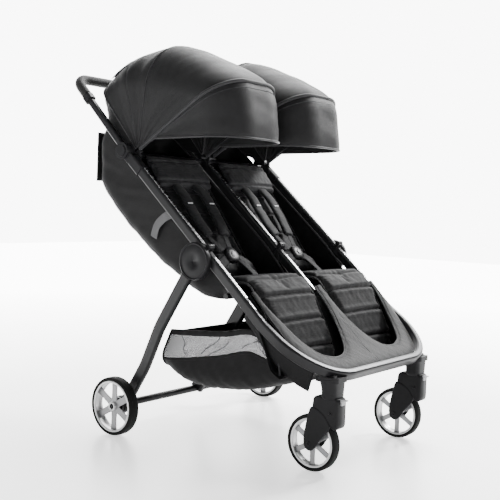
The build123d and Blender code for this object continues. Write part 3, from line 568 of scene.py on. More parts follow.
def canopySheet(side, first, last, hoops, seed):
    spec = canopySpec
    theta, s = np.meshgrid(
        np.linspace(first, last, spec["rows"]), np.linspace(0.0, 1.0, spec["columns"]), indexing="ij"
    )
    grid = canopyGrid(theta, s, side)
    top = np.sin(pi * s) ** 0.7
    # cloth sinks a little between hoops, pulls into each seam and gathers towards the hinge
    sink = 0
    for a, b in zip(hoops[:-1], hoops[1:]):
        f = np.clip((theta - a) / (b - a), 0, 1)
        sink = sink - 0.0045 * np.sin(pi * f) ** 2 * top
    for a in hoops:
        sink = sink - 0.0012 * np.exp(-(((theta - a) / 0.9) ** 2))
    gather = 0.0009 * (np.exp(-((s / 0.10) ** 2)) + np.exp(-(((s - 1) / 0.10) ** 2)))
    sink = sink + gather * np.sin(theta * 0.45 + 4 * s) + 0.0022 * top * ripple(theta / 60, s, seed)
    centre = np.array([0, canopyPivot[1], canopyPivot[2]]) + np.array([side * spec["centre"], 0, 0])
    return grid + unit(grid - centre) * sink[..., None]


def canopyLine(theta, side, lift, count=90, span=(0.0, 1.0)):
    # one arch of the canopy at a fixed angle, lifted off the cloth or cut short at its ends
    s = np.linspace(span[0], span[1], count)
    return canopyGrid(np.full(count, float(theta)), s, side, lift)


for side, name in sides:
    upper, middle, front = "upper_frame", "canopy_mid_" + name, "canopy_front_" + name
    rearGrid = canopySheet(side, rearEdge, midBow + 0.3, (rearEdge, rearRib, midBow), 3 + side)
    topGrid = canopySheet(side, midBow - 0.1, hemEdge, (midBow, frontBow, hemEdge), 8 + side)
    rear = sheetMesh("canopyRear_" + name, rearGrid, 0.0018, canopyCloth)
    top = sheetMesh("canopyTop_" + name, topGrid, 0.0018, canopyCloth)
    rearParts, topParts = [], []
    for label, theta, radius, lift, parts in (
        ("rearHem", 48.2, 0.0028, 0.0005, rearParts),
        ("rearSeam", rearRib, 0.0011, 0.0001, rearParts),
        ("midSeam", 97.2, 0.0017, 0.0006, topParts),
        ("frontRoll", frontBow, 0.0052, 0.0022, topParts),
        ("frontRollSeam", 151.2, 0.0013, 0.0002, topParts),
        ("visorHem", 173.6, 0.0034, 0.0008, topParts),
    ):
        line = canopyLine(theta, side, lift)
        away = unit(line - canopyPivot - np.array([side * canopySpec["centre"], 0, 0]))
        piece = sweep(f"{label}_{name}", line, radius, radius, pipingCloth, ref=away, sidesN=12)
        parts.append(piece)
    for piece in [rear] + rearParts:
        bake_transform(piece)
    for piece in [top] + topParts:
        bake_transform(piece)
    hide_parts("canopy_rear_" + name)
    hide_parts("canopy_top_" + name, "canopy_visor_" + name)
    spec = canopySpec
    # the front hoop stops short of the hinge, where it would meet the middle one when closed
    for theta, body, bowNode, cut in (
        (midBow, middle, "mid_bow_", 0),
        (frontBow, front, "front_bow_", spec["frontHoopCut"]),
    ):
        line = canopyLine(theta, side, -spec["hoopInset"], 110, (cut, 1 - cut))
        across = (0, cos(radians(theta + 90)), sin(radians(theta + 90)))
        bow = sweep("hoop_" + bowNode + name, line, spec["hoopRadius"], spec["hoopRadius"], frameBlack,
            ref=across)
        place(bow, body, "steel", bowNode + name)
    # dark mesh window under the rear panel's flap
    window = canopyGrid(
        *np.meshgrid(np.linspace(56, 71, 20), np.linspace(0.34, 0.66, 40), indexing="ij"), side, 0.0014
    )
    flap = sheetMesh("rearWindow_" + name, window, 0.0012, hammockCloth)
    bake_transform(flap)
print("stage: canopies")


# hammock shells behind and under the seats
hammockSpec = dict(
    inner=0.0185, outer=0.3095, corner=0.045, rows=110, columns=90, wallFrom=0.0165, wallTo=0.3115,
    curtainAngle=47.8, flapOut=0.1605, flapTop=0.062, flapDrop=0.150,
)


def yz(base, dy, dz):
    # a point on the middle plane, offset from a base
    return [0.0, base[1] + dy, base[2] + dz]


def hammockCurves(count):
    # side view: the outline and the rim it hangs from, both from top to front
    outline = [
        yz(knob, 0.128, 0.086),
        yz(knob, 0.152, 0.045),
        yz(knob, 0.150, -0.030),
        yz(knob, 0.142, -0.096),
        yz(knob, 0.106, -0.140),
        yz(hub, 0.124, -0.048),
        yz(hub, 0.045, -0.092),
        yz(hub, -0.045, -0.104),
        yz(hub, -0.105, -0.082),
    ]
    rim = [
        yz(knob, 0.056, 0.030),
        yz(knob, 0.010, -0.012),
        yz(knob, -0.070, -0.076),
        list(railFoot + railDir * 0.16 - railUp * 0.008),
        list(railFoot - railUp * 0.010),
        list(railFoot - railDir * 0.075 - railUp * 0.020),
        list(railFoot - railDir * 0.135 - railUp * 0.033),
    ]
    return smoothPath(outline, count), smoothPath(rim, count)


def hammockGrid(side):
    # each row is an arch from the rim out to the outline, as deep as the two are apart
    spec = hammockSpec
    outline, rim = hammockCurves(spec["rows"])
    out = outline - rim
    depth = np.linalg.norm(out, axis=1)
    s = np.linspace(0, 1, spec["columns"])
    x, h = archPoints(s[None, :], spec["outer"] - spec["inner"], depth[:, None], spec["corner"])
    grid = rim[:, None] + unit(out)[:, None] * h[..., None]
    grid[..., 0] = side * ((spec["outer"] + spec["inner"]) / 2 - x)
    t = np.linspace(0, 1, spec["rows"])[:, None]
    # slack cloth: broad folds on the walls, tighter near the hub
    soft = np.sin(pi * s)[None, :] ** 0.5 * np.sin(pi * t) ** 0.4
    slack = 0.0045 * ripple(t * 2.0, s * 1.2, 21 + side) + 0.0030 * np.sin(26 * t + 5
        * s) * np.exp(-(((t - 0.72) / 0.2) ** 2))
    pull = 0.006 * np.sin(pi * s) ** 4 * np.sin(pi * t)
    grid = grid - normals(grid) * side * ((slack - pull) * soft)[..., None]
    grid[..., 0] = side * np.clip(side * grid[..., 0], spec["wallFrom"], spec["wallTo"])
    return grid


for side, name in sides:
    grid = hammockGrid(side)
    # rear curtain between the canopy's back edge and the hammock's top edge
    f = np.linspace(0, 1, 14)[:, None, None]
    spec = hammockSpec
    columns = spec["columns"]
    top = canopyGrid(np.full(columns, spec["curtainAngle"]), np.linspace(0, 1, columns), side)
    curtain = top[None] * (1 - f) + grid[0, ::-1][None] * f
    curtain[..., 1] += 0.006 * np.sin(pi * f[..., 0]) + 0.002 * ripple(f[..., 0] * 2,
        np.linspace(0, 2, columns)[None], 52)
    curtainPiece = sheetMesh("rearCurtain_" + name, curtain, 0.0016, hammockCloth)
    place(curtainPiece, "upper_frame", "hammock_cloth")
    shell = sheetMesh("hammock_" + name, grid, 0.0022, hammockCloth)
    rimLines = [grid[:, 0], grid[:, -1], grid[0]]
    extras = []
    for k, line in enumerate(rimLines):
        piece = sweep(f"hammockBinding{k}_{name}", line, 0.0030, 0.0030, pipingCloth, ref=(0, 0.3, 1),
            sidesN=8)
        extras.append(piece)
    # folded top flap of the rear panel
    flapRows = np.linspace(0, 1, 16)[:, None]
    width = np.linspace(0.03, 0.299, 50)[None, :]
    flapY = knob[1] + spec["flapOut"] + 0.002 * np.sin(60 * width) * flapRows - 0.003 * (1 - flapRows)
    flapZ = knob[2] + spec["flapTop"] - spec["flapDrop"] * flapRows + 0 * width
    drop = np.stack([side * width + 0 * flapRows, flapY, flapZ], -1)
    flapPiece = sheetMesh("hammockFlap_" + name, drop, 0.002, panelCloth)
    for piece in [shell] + extras:
        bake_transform(piece)
    place(flapPiece, "upper_frame", "hammock_cloth")
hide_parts("seat_hammock")
print("stage: hammocks")


# grey adjusting strap on each outer wall
for side, name in sides:
    x = side * 0.3155
    path = smoothPath(
        [
            (x, bight[1] + 0.176, bight[2] + 0.116),
            (x + side * 0.004, bight[1] + 0.160, bight[2] + 0.150),
            (x + side * 0.005, bight[1] + 0.128, bight[2] + 0.176),
            (x + side * 0.002, bight[1] + 0.095, bight[2] + 0.190),
        ],
        40,
    )
    strap = sweep("sideStrap_" + name, path, 0.013, 0.0011, webbingGrey, ref=(side, 0, 0), power=5,
        sidesN=20)
    place(strap, "upper_frame", "webbing")


# padded seats: profile curves in the YZ plane, cloth inflated, then sewn
def padMesh(name, path, x0, x1, thickness, material, taper=0.0, count=60, across=34):
    # a flat closed slab along the path: superellipse section, ends rounded in plan
    line = smoothPath(path, count)
    t = unit(np.gradient(line, axis=0))
    out = np.cross(np.array([1.0, 0, 0]), t)
    length = np.linalg.norm(np.diff(line, axis=0), axis=1).sum()
    u = np.linspace(0, 1, count)
    end = np.minimum(u, 1 - u) * length / 0.035
    plan = np.clip(end, 0.02, 1) ** 0.35
    a = np.linspace(0, 2 * pi, across * 2, endpoint=False)
    c = np.sign(np.cos(a)) * np.abs(np.cos(a)) ** 0.34
    s = np.sign(np.sin(a)) * np.abs(np.sin(a)) ** 0.6
    half = (x1 - x0) / 2 * (0.88 + 0.12 * plan) * (1 - taper * u**2)
    thick = thickness / 2 * np.clip(end, 0.03, 1) ** 0.5
    grid = line[:, None] + out[:, None] * (thick[:, None] * s)[..., None]
    grid[..., 0] = (x0 + x1) / 2 + half[:, None] * c
    return surface(name, grid, material, wrapV=True), line, out


def applied(obj):
    # the modifiers' result becomes the object's own mesh
    shown = obj.evaluated_get(bpy.context.evaluated_depsgraph_get())
    mesh = bpy.data.meshes.new_from_object(shown)
    obj.modifiers.clear()
    obj.data = mesh


def inflate(obj, voxel=0.0055, pressure=4.0, cap=0.007, frames=20):
    # remeshed, blown up as cloth with no gravity, each point's move capped, then subdivided once
    remesh = obj.modifiers.new("remesh", "REMESH")
    remesh.mode, remesh.voxel_size, remesh.use_smooth_shade = "VOXEL", voxel, True
    applied(obj)
    rest = np.zeros(len(obj.data.vertices) * 3)
    obj.data.vertices.foreach_get("co", rest)
    cloth = obj.modifiers.new("cloth", "CLOTH")
    cloth.settings.use_pressure = True
    cloth.settings.uniform_pressure_force = pressure
    cloth.settings.effector_weights.gravity = 0
    cloth.settings.quality = 4
    cloth.collision_settings.use_collision = False
    for step in range(1, frames + 1):
        bpy.context.scene.frame_set(step)
    applied(obj)
    moved = np.zeros(len(obj.data.vertices) * 3)
    obj.data.vertices.foreach_get("co", moved)
    shift = (moved - rest).reshape(-1, 3)
    far = np.linalg.norm(shift, axis=1, keepdims=True)
    shift = shift * np.minimum(1, cap / np.maximum(far, 1e-9))
    obj.data.vertices.foreach_set("co", (rest.reshape(-1, 3) + shift).ravel())
    bpy.context.scene.frame_set(1)
    obj.modifiers.new("smooth", "SUBSURF").levels = 1
    applied(obj)
    obj.data.shade_smooth()


def sew(obj, line, out, x0, x1, channels, depth=0.006, width=0.005, pucker=0.0016, edge=0.022, seed=1):
    # channels pressed in across the pad, puckers along its side seams, small slack between
    co = np.zeros(len(obj.data.vertices) * 3)
    obj.data.vertices.foreach_get("co", co)
    co = co.reshape(-1, 3)
    arc = np.concatenate([[0], np.cumsum(np.linalg.norm(np.diff(line, axis=0), axis=1))])
    dense = np.linspace(0, arc[-1], 400)
    curve = np.stack([np.interp(dense, arc, line[:, k]) for k in (1, 2)], -1)
    face = np.stack([np.interp(dense, arc, out[:, k]) for k in (1, 2)], -1)
    gap = ((co[:, None, 1:] - curve[None]) ** 2).sum(-1)
    nearest = gap.argmin(1)
    s = dense[nearest]
    face = face[nearest]
    high = ((co[:, 1:] - curve[nearest]) * face).sum(-1)
    top = np.clip(high / 0.004, -1, 1)
    inside = np.minimum(co[:, 0] - x0, x1 - co[:, 0])
    middle = (co[:, 0] - (x0 + x1) / 2) / (x1 - x0)
    bow = 0.010 * (0.25 - middle**2)
    press = 0
    for c in channels:
        d = s - c - bow
        press = press + np.exp(-((d / width) ** 2)) - 0.28 * np.exp(-(((np.abs(d) - 2.6 * width) / (1.6
            * width)) ** 2))
    margin = np.exp(-((inside / edge) ** 2))
    waves = np.sin(s / 0.0068 * 2 * pi + 2.2 * np.sin(s * 90)) * (0.6 + 0.4 * np.sin(s * 57 + seed))
    slack = ripple(s * 5, middle * 1.6, seed) * 0.0011
    move = -depth * press * np.clip(top, 0, 1) + pucker * waves * margin * np.abs(top) + slack * np.abs(top)
    co[:, 1:] += face * (move * np.sign(high))[:, None]
    obj.data.vertices.foreach_set("co", co.ravel())
    obj.data.update()


def mirrored(obj, name):
    # a copy reflected across the middle plane, its faces turned back outwards
    mesh = obj.data.copy()
    twin = bpy.data.objects.new(name, mesh)
    mesh.transform(Matrix.Scale(-1, 4, (1, 0, 0)))
    mesh.flip_normals()
    bpy.context.scene.collection.objects.link(twin)
    return twin


def padPair(stem, path, x0, x1, thickness, material, channels, sewing=None, taper=0.0, **inflation):
    # the left pad is made, inflated and sewn, then mirrored
    left, line, out = padMesh(stem + "_left", path, x0, x1, thickness, material, taper)
    inflate(left, **inflation)
    sew(left, line, out, x0, x1, channels, **(sewing or {}))
    return left, mirrored(left, stem + "_right")


def edgePiping(stem, path, x0, x1, lift, radius, material):
    # welt along both long sides of a pad, 4 tubes for the pair of pads
    made = []
    line = smoothPath(path, 90)
    t = unit(np.gradient(line, axis=0))
    out = np.cross(np.array([1.0, 0, 0]), t)
    for side, name in sides:
        for k, x in enumerate((x0, x1)):
            welt = line + out * lift
            welt[:, 0] = side * x
            made.append((name, sweep(f"{stem}{k}_{name}", welt, radius, radius, material, ref=(0, 0, 1),
                sidesN=8)))
    return made


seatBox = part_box("seat_back_left")
seatX = (seatBox[0][0] + 0.001, seatBox[1][0] - 0.001)
backAngle = radians(52.5)
backDir = np.array([0, cos(backAngle), sin(backAngle)])
backOut = np.array([0, -sin(backAngle), cos(backAngle)])


def onBack(up, out, x=0.0):
    # a point so far up the seat back and out from it
    p = bight + backDir * up + backOut * out
    return [x, p[1], p[2]]


# legrest and seat in one pad, over the crest and down to the footwell
legPath = [
    yz(bight, -0.018, -0.012),
    yz(bight, -0.075, 0.002),
    yz(bight, -0.130, 0.010),
    yz(bight, -0.163, 0.006),
    yz(bight, -0.190, -0.020),
    yz(bight, -0.226, -0.078),
    yz(bight, -0.258, -0.140),
    yz(bight, -0.276, -0.196),
    yz(bight, -0.279, -0.222),
]
legPads = padPair("seatPad", legPath[::-1], seatX[0], seatX[1], 0.020, seatCloth,
    (0.055, 0.132, 0.208, 0.268, 0.345),
                  dict(depth=0.0065, width=0.0045, pucker=0.0018, edge=0.026, seed=5), cap=0.006)
for piece, (side, name) in zip(legPads, sides[::-1]):
    place(piece, "lower_frame", "seat_cloth")
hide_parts("seat_pads")
for name, welt in edgePiping("padPiping", legPath, seatX[0] - 0.001, seatX[1] + 0.001, 0.0, 0.0026,
        pipingCloth):
    place(welt, "lower_frame", "seat_cloth")
print("stage: leg pads")

# cloth behind the leg pads, closing the width between the rails
liningPath = smoothPath([yz(bight, -0.120, -0.012), yz(bight, -0.150, -0.014), yz(bight, -0.176, -0.040),
    yz(bight, -0.212, -0.100), yz(bight, -0.240, -0.160), yz(bight, -0.262, -0.212),
    yz(bight, -0.292, -0.230)], 50)
for side, name in sides:
    across = np.linspace(0.0015, 0.3125, 40)
    grid = np.repeat(liningPath[:, None], 40, axis=1)
    grid[..., 0] = side * across
    grid[..., 1] += 0.010 * np.sin(pi * np.linspace(0, 1, 40))[None]
    grid[..., 1] += 0.0015 * ripple(grid[..., 0] * 12, grid[..., 2] * 8, 31)
    lining = sheetMesh("legLining_" + name, grid if side < 0 else grid[:, ::-1], 0.0018, hammockCloth)
    place(lining, "lower_frame", "hammock_cloth")

# seat backs with a padded head flap
backPath = [onBack(u, -0.013) for u in (0.012, 0.08, 0.16, 0.24, 0.32, 0.40, 0.428)]
backPads = padPair("seatBackPad", backPath, seatX[0], seatX[1], 0.018, backCloth,
    (0.075, 0.150, 0.225, 0.300),
                   dict(depth=0.004, width=0.004, pucker=0.0012, edge=0.02, seed=9), cap=0.005)
flapPath = [onBack(u, o) for u, o in ((0.315, 0.004), (0.35, 0.012), (0.40, 0.014), (0.445, 0.010))]
flapPads = padPair("headFlap", flapPath, seatX[0] + 0.004, seatX[1] - 0.004, 0.012, backCloth,
    (0.030, 0.095),
                   dict(depth=0.0035, width=0.004, pucker=0.0012, edge=0.016, seed=12), cap=0.005)
for pads in (backPads, flapPads):
    for piece, (side, name) in zip(pads, sides[::-1]):
        place(piece, "seat_back_" + name, "seat_cloth")
for piece, (side, name) in zip(backPads, sides[::-1]):
    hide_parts("seat_back_" + name)
for name, welt in edgePiping("backPiping", backPath, seatX[0] + 0.001, seatX[1] - 0.001, 0.005, 0.0022,
        pipingCloth):
    place(welt, "seat_back_" + name, "seat_cloth")
print("stage: seat backs")

# harness: padded shoulder covers, webbing, waist straps, buckle, crotch strap
seatMid = (seatX[0] + seatX[1]) / 2
for side, name in sides:
    body = "seat_back_" + name
    first = None
    for hand in (-1, 1):
        tag = f"{'Inner' if hand * side < 0 else 'Outer'}_{name}"
        cx = side * seatMid
        line = smoothPath(
            [
                onBack(0.345, 0.006, cx + hand * 0.044),
                onBack(0.300, 0.020, cx + hand * 0.047),
                onBack(0.240, 0.023, cx + hand * 0.049),
                onBack(0.180, 0.024, cx + hand * 0.044),
                onBack(0.140, 0.025, cx + hand * 0.036),
            ],
            60,
        )
        swell = 1 + 0.10 * np.sin(np.linspace(0, 7 * pi, 60))
        cover = sweep("shoulderPad" + tag, line, 0.021 * (0.97 + 0.03 * swell), 0.0072 * swell, backCloth,
                      ref=tuple(backOut), power=2.8, sidesN=28)
        place(cover, body, "webbing")
        if first is None:
            first = cover
        strap = smoothPath(
            [
                onBack(0.165, 0.024, cx + hand * 0.042),
                onBack(0.125, 0.026, cx + hand * 0.034),
                onBack(0.085, 0.032, cx + hand * 0.020),
                onBack(0.062, 0.036, cx + hand * 0.013),
            ],
            40,
        )
        place(sweep("shoulderStrap" + tag, strap, 0.010, 0.0009, webbing, ref=tuple(backOut), power=5,
            sidesN=16), body, "webbing")
        upper = smoothPath(
            [onBack(0.36, 0.002, cx + hand * 0.042), onBack(0.335, 0.015, cx + hand * 0.044),
            onBack(0.31, 0.019, cx + hand * 0.046)], 24
        )
        place(sweep("shoulderLoop" + tag, upper, 0.012, 0.0012, webbing, ref=tuple(backOut), power=5,
            sidesN=16), body, "webbing")
        tape = np.array([onBack(0.252, 0.0312, cx + hand * 0.049 - 0.010),
            onBack(0.252, 0.0312, cx + hand * 0.049 + 0.010)])
        place(sweep("reflector" + tag, smoothPath(tape, 8), 0.0022, 0.0006, reflectTape, ref=tuple(backOut),
            power=5, sidesN=12), body, "webbing")
        waist = smoothPath(
            [
                onBack(0.052, 0.036, cx + hand * 0.020),
                onBack(0.034, 0.034, cx + hand * 0.055),
                onBack(0.016, 0.024, cx + hand * 0.090),
                onBack(0.010, 0.004, cx + hand * 0.120),
            ],
            50,
        )
        thick = 0.0045 * (1 + 0.12 * np.sin(np.linspace(0, 5 * pi, 50)))
        belt = sweep("waistPad" + tag, waist, 0.016, thick, backCloth, ref=tuple(backOut), power=3,
            sidesN=20)
        place(belt, body, "webbing")
    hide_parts("shoulder_straps_" + name)
    cx = side * seatMid
    base = np.array(onBack(0.058, 0.040, cx))
    ring = closedPath([[0, -0.024, -0.020], [0, 0.024, -0.020], [0, 0.029, 0.004], [0, 0.014, 0.024],
        [0, -0.014, 0.024], [0, -0.029, 0.004]], 60)
    layers = [(0.001, 0.0085), (0.45, 0.0082), (0.8, 0.0068), (0.97, 0.004), (1.0, 0.0), (0.97, -0.004),
        (0.8, -0.0062), (0.001, -0.0065)]
    grid = np.array([
        base + np.outer(ring[:, 1] * share, [1, 0, 0]) + np.outer(ring[:, 2] * share,
        backDir) + backOut * lift
        for share, lift in layers
    ])
    buckle = surface("buckle_" + name, grid, plasticSmooth, wrapV=True)
    place(buckle, "lower_frame", "black_plastic")
    a = np.linspace(0, 2 * pi, 40, endpoint=False)
    button = np.array([
        base + backOut * lift + np.outer(np.cos(a) * r, [1, 0, 0]) + np.outer(np.sin(a) * r, backDir)
        for r, lift in ((0.0001, 0.0112), (0.006, 0.0112), (0.0085, 0.0104), (0.0092, 0.0086),
        (0.0092, 0.006))
    ])
    place(surface("buckleButton_" + name, button, lockGrey, wrapV=True), "lower_frame", "black_plastic")
    if side > 0:
        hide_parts("harness_buckles")
    crotch = smoothPath(
        [onBack(0.040, 0.038, cx), yz(bight, -0.058, 0.040), yz(bight, -0.086, 0.020),
        yz(bight, -0.096, 0.008)], 40
    )
    crotch[:, 0] = cx
    place(sweep("crotchStrap_" + name, crotch, 0.0125, 0.0026, webbing, ref=(0, -0.8, 0.6), power=4,
        sidesN=18), "lower_frame", "webbing")
print("stage: harness")


# basket: black sagging floor, pale net sides, bound edges
basketRows, basketColumns = 80, 140
lastColumn = basketColumns - 1
floorFrom = 22
floorTo = lastColumn - floorFrom
basketRim = smoothPath(
    [yz(rearAxle, -0.150, 0.232), yz(rearAxle, -0.240, 0.238), yz(rearAxle, -0.346, 0.248),
    yz(rearAxle, -0.440, 0.262),
     yz(rearAxle, -0.500, 0.240), yz(rearAxle, -0.560, 0.196), yz(rearAxle, -0.598, 0.168)], basketRows)
basketLow = smoothPath(
    [yz(rearAxle, -0.100, 0.124), yz(rearAxle, -0.160, 0.094), yz(rearAxle, -0.240, 0.082),
    yz(rearAxle, -0.330, 0.086),
     yz(rearAxle, -0.430, 0.106), yz(rearAxle, -0.530, 0.134), yz(rearAxle, -0.596, 0.154)], basketRows)


def basketGrid(shares):
    # across the basket: down one side, along the sagging floor, up the other
    drop = basketLow - basketRim
    depth = np.linalg.norm(drop, axis=1)[:, None]
    t = np.linspace(0, 1, basketRows)[:, None]
    width = 0.574 - 0.075 * t**2
    # the net's lower edge follows its own height, so the shares are stretched about it
    total = width + 2 * depth - 0.053
    net = smoothValue(t, (0, 0.45, 1), (0.094, 0.066, 0.045)) / total
    bend = floorFrom / lastColumn
    share = shares[None, :]
    mirror = np.where(share > 0.5, 1 - share, share)
    stretched = np.where(mirror < bend, mirror / bend * net,
        net + (mirror - bend) / (0.5 - bend) * (0.5 - net))
    share = np.where(share > 0.5, 1 - stretched, stretched)
    x, h = archPoints(share, width, depth, 0.062)
    grid = basketRim[:, None] + unit(drop)[:, None] * h[..., None]
    grid[..., 0] = x
    sag = 0.014 * np.cos(np.clip(x / width, -0.5, 0.5) * pi) * (h > 0.6 * depth) * np.sin(pi * t)
    grid[..., 2] -= sag
    slack = 0.0035 * ripple(t * 2.4, shares[None, :] * 3, 44) * np.sin(pi * t) ** 0.5
    return grid + normals(grid) * slack[..., None]


wholeBasket = basketGrid(np.linspace(0, 1, basketColumns))
floorGridPart = wholeBasket[:, floorFrom : floorTo + 1]
basketFloor = sheetMesh("basketFloor", floorGridPart, 0.0022, hammockCloth)
basketExtras = []
meshSides = []
for tag, columns in (("right", slice(0, floorFrom + 1)), ("left", slice(floorTo, basketColumns))):
    part = wholeBasket[:, columns]
    meshSides.append((sheetMesh("basketNet_" + tag, part, 0.0010, netPale), part))
for tag, column, radius in (("rimRight", 0, 0.0055), ("rimLeft", lastColumn, 0.0055),
        ("seamRight", floorFrom, 0.0032), ("seamLeft", floorTo, 0.0032)):
    basketExtras.append(sweep("basket_" + tag, wholeBasket[:, column], radius * 1.5, radius * 0.6,
        hammockCloth, ref=(1, 0, 0), sidesN=10, power=3))
for k, row in ((0, 0), (1, basketRows - 1)):
    basketExtras.append(sweep(f"basket_end{k}", wholeBasket[row], 0.006, 0.0025, hammockCloth,
        ref=(0, 1, 0), sidesN=10, power=3))
# seams and crossed straps drawn on the net
for k, (row0, row1, c0, c1) in enumerate(((6, 16, 0, 22), (30, 22, 0, 22), (36, 26, 8, 22), (52, 44, 0, 22),
        (50, 60, 5, 20))):
    for tag in ("right", "left"):
        f = np.linspace(0, 1, 30)
        rows = np.clip(np.round(row0 + (row1 - row0) * f + 1.5 * np.sin(6 * f)).astype(int), 0,
            basketRows - 1)
        cols = np.round(c0 + (c1 - c0) * f).astype(int)
        if tag == "left":
            cols = lastColumn - cols
        line = wholeBasket[rows, cols] + np.array([(-1 if tag == "right" else 1) * 0.0012, 0, 0])
        line = smoothPath(line[::6], 24)
        basketExtras.append(sweep(f"netFold{k}_{tag}", line, 0.0013, 0.0006, webbingGrey, ref=(1, 0, 0),
            sidesN=8))
rise = np.linspace(0, 1, 16)[:, None, None]
topLine = wholeBasket[0].copy()
topLine[:, 1:] = wholeBasket[0, 0, 1:]
rearPanelGrid = wholeBasket[0][None] * (1 - rise) + topLine[None] * rise
rearPanelGrid[..., 1] += 0.004 + 0.008 * np.sin(pi * rise[...,
    0]) * np.cos(pi * np.clip(topLine[None, :, 0] / 0.6, -0.5, 0.5))
rearPanel = sheetMesh("basketRear", rearPanelGrid[:, 10:-10], 0.002, hammockCloth)
for piece in [basketFloor, rearPanel] + [m for m, g in meshSides] + basketExtras:
    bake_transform(piece)
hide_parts("basket")
print("stage: basket")


# wheels: rounded tyre, bright rim, six thin blades in a darker silver that paints their shade, dark hub cap
wheelSpec = dict(wall=0.011, lip=0.0055, hub=0.0135, cap=0.0088, bladeThick=0.0016, groove=0.0008,
                 blades=6, rearWidth=0.034, frontWidth=0.028)


def wheel(stem, name, side, centre, radius, width, body):
    # tyre, rim, hub and cap are profiles turned about the axle; blades are thin sections along spokes
    spec = wheelSpec
    a = np.linspace(0, 2 * pi, 120, endpoint=False)
    c = np.sign(np.cos(a)) * np.abs(np.cos(a)) ** 0.55
    s = np.sign(np.sin(a)) * np.abs(np.sin(a)) ** 0.7
    x = width / 2 * c
    groove = sum(np.exp(-(((x - g) / 0.0011) ** 2)) for g in (-0.006, 0.0, 0.006)) * (s > 0.7)
    r = radius - spec["wall"] / 2 + spec["wall"] / 2 * s - spec["groove"] * groove
    tyre = lathe(f"{stem}Tyre_{name}", np.column_stack([r, x]), centre, rubber, side, 110)
    place(tyre, body, "tyre", f"{stem}_tyre_{name}")
    edge, half = radius - spec["wall"] + 0.0008, width / 2 - 0.0025
    lip = spec["lip"]
    ring = [(edge, -half), (edge, half), (edge - 0.001, half + 0.001), (edge - lip, half + 0.001),
        (edge - lip - 0.0015, half - 0.001),
            (edge - lip * 0.6, half - 0.006), (edge - lip * 0.6, -half + 0.006), (edge - lip, -half),
            (edge - 0.001, -half - 0.0005)]
    rim = lathe(f"{stem}Rim_{name}", ring, centre, silver, side, 110)
    place(rim, body, "rim_silver", f"{stem}_rim_{name}")
    for k in range(spec["blades"]):
        spin = radians(90 + 360 / spec["blades"] * k)
        f = np.linspace(0, 1, 26)
        reach = 0.010 + f * (edge - lip * 0.5 - 0.010)
        path = np.stack([np.full(26, centre[0] + side * 0.0015), centre[1] + reach * cos(spin),
            centre[2] + reach * sin(spin)], -1)
        flare = spec["bladeThick"] * (1 + 1.3 * (1 - f) ** 3 + 1.1 * f**6)
        deep = (half - 0.0035) * (1 - 0.10 * np.sin(pi * f))
        place(sweep(f"{stem}Blade{k}_{name}", path, deep, flare, bladeSilver, ref=(1, 0, 0), sidesN=24,
            power=6), body, "rim_silver")
    hubRing = [(0.0001, -half + 0.001), (spec["hub"], -half + 0.001), (spec["hub"], half - 0.002),
        (spec["hub"] - 0.001, half - 0.0005), (spec["cap"], half - 0.0005),
        (spec["cap"] - 0.0006, half - 0.003), (0.0001, half - 0.003)]
    place(lathe(f"{stem}Hub_{name}", hubRing, centre, silver, side, 60), body, "rim_silver")
    capRing = [(0.0001, half - 0.0035), (spec["cap"] - 0.0007, half - 0.0035),
        (spec["cap"] - 0.0009, half - 0.0012), (spec["cap"] - 0.002, half), (0.0001, half + 0.0004)]
    place(lathe(f"{stem}Cap_{name}", capRing, centre, plasticSmooth, side, 48), body, "black_plastic")


for side, name in sides:
    wheel("rear", name, side, rearAxle * (side * np.sign(rearAxle[0]), 1, 1), rearAxle[2],
        wheelSpec["rearWidth"], "rear_wheel_" + name)
    wheel("front", name, side, frontAxle * (side * np.sign(frontAxle[0]), 1, 1), frontAxle[2],
        wheelSpec["frontWidth"], "front_wheel_" + name)
print("stage: wheels")

# round covers on the main hinges, a raised rim about a plain face
coverRing = [(0.0001, 0.339), (0.0512, 0.339), (0.0522, 0.3405), (0.0522, 0.3515), (0.0514, 0.3548),
    (0.0498, 0.3562), (0.0484, 0.3562),
             (0.0472, 0.3550), (0.0466, 0.3534), (0.0458, 0.3530), (0.0448, 0.3534), (0.03, 0.3544),
             (0.0001, 0.3549)]
for side, name in sides:
    cover = lathe("hubCover_" + name, coverRing, hub * (0, 1, 1), plasticBlack, side, 110)
    place(cover, "lower_frame", "black_plastic")
    if side > 0:
        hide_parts("hub_discs")

# casters: rounded block over the wheel, cheeks down to the axle, square stem sleeve
blockLine = [(0.004, 0.098), (0.007, 0.122), (0.014, 0.130), (0.078, 0.130), (0.084, 0.124),
    (0.0845, 0.060), (0.080, 0.049),
             (0.0695, 0.0475), (0.060, 0.060), (0.046, 0.0712), (0.030, 0.0787), (0.012, 0.083),
             (0.004, 0.086)]
cheekLine = [(-0.0165, -0.004), (-0.018, 0.012), (-0.012, 0.050), (-0.002, 0.092), (0.004, 0.100),
    (0.017, 0.098), (0.031, 0.092), (0.045, 0.083),
             (0.057, 0.069), (0.064, 0.054), (0.052, 0.036), (0.030, 0.010), (0.0175, -0.010),
             (0.009, -0.0175), (-0.002, -0.019), (-0.011, -0.014)]
casterSpec = dict(blockHalf=0.0222, cheekIn=0.0165, cheekOut=0.0240, dotFace=0.0234, axleDot=0.0062,
    pivotDot=0.0034,
                  pivotAt=(0.062, 0.090), stubHalf=0.020, stubRadius=0.0042, sleeve=(0.2068, 0.230, 0.252))
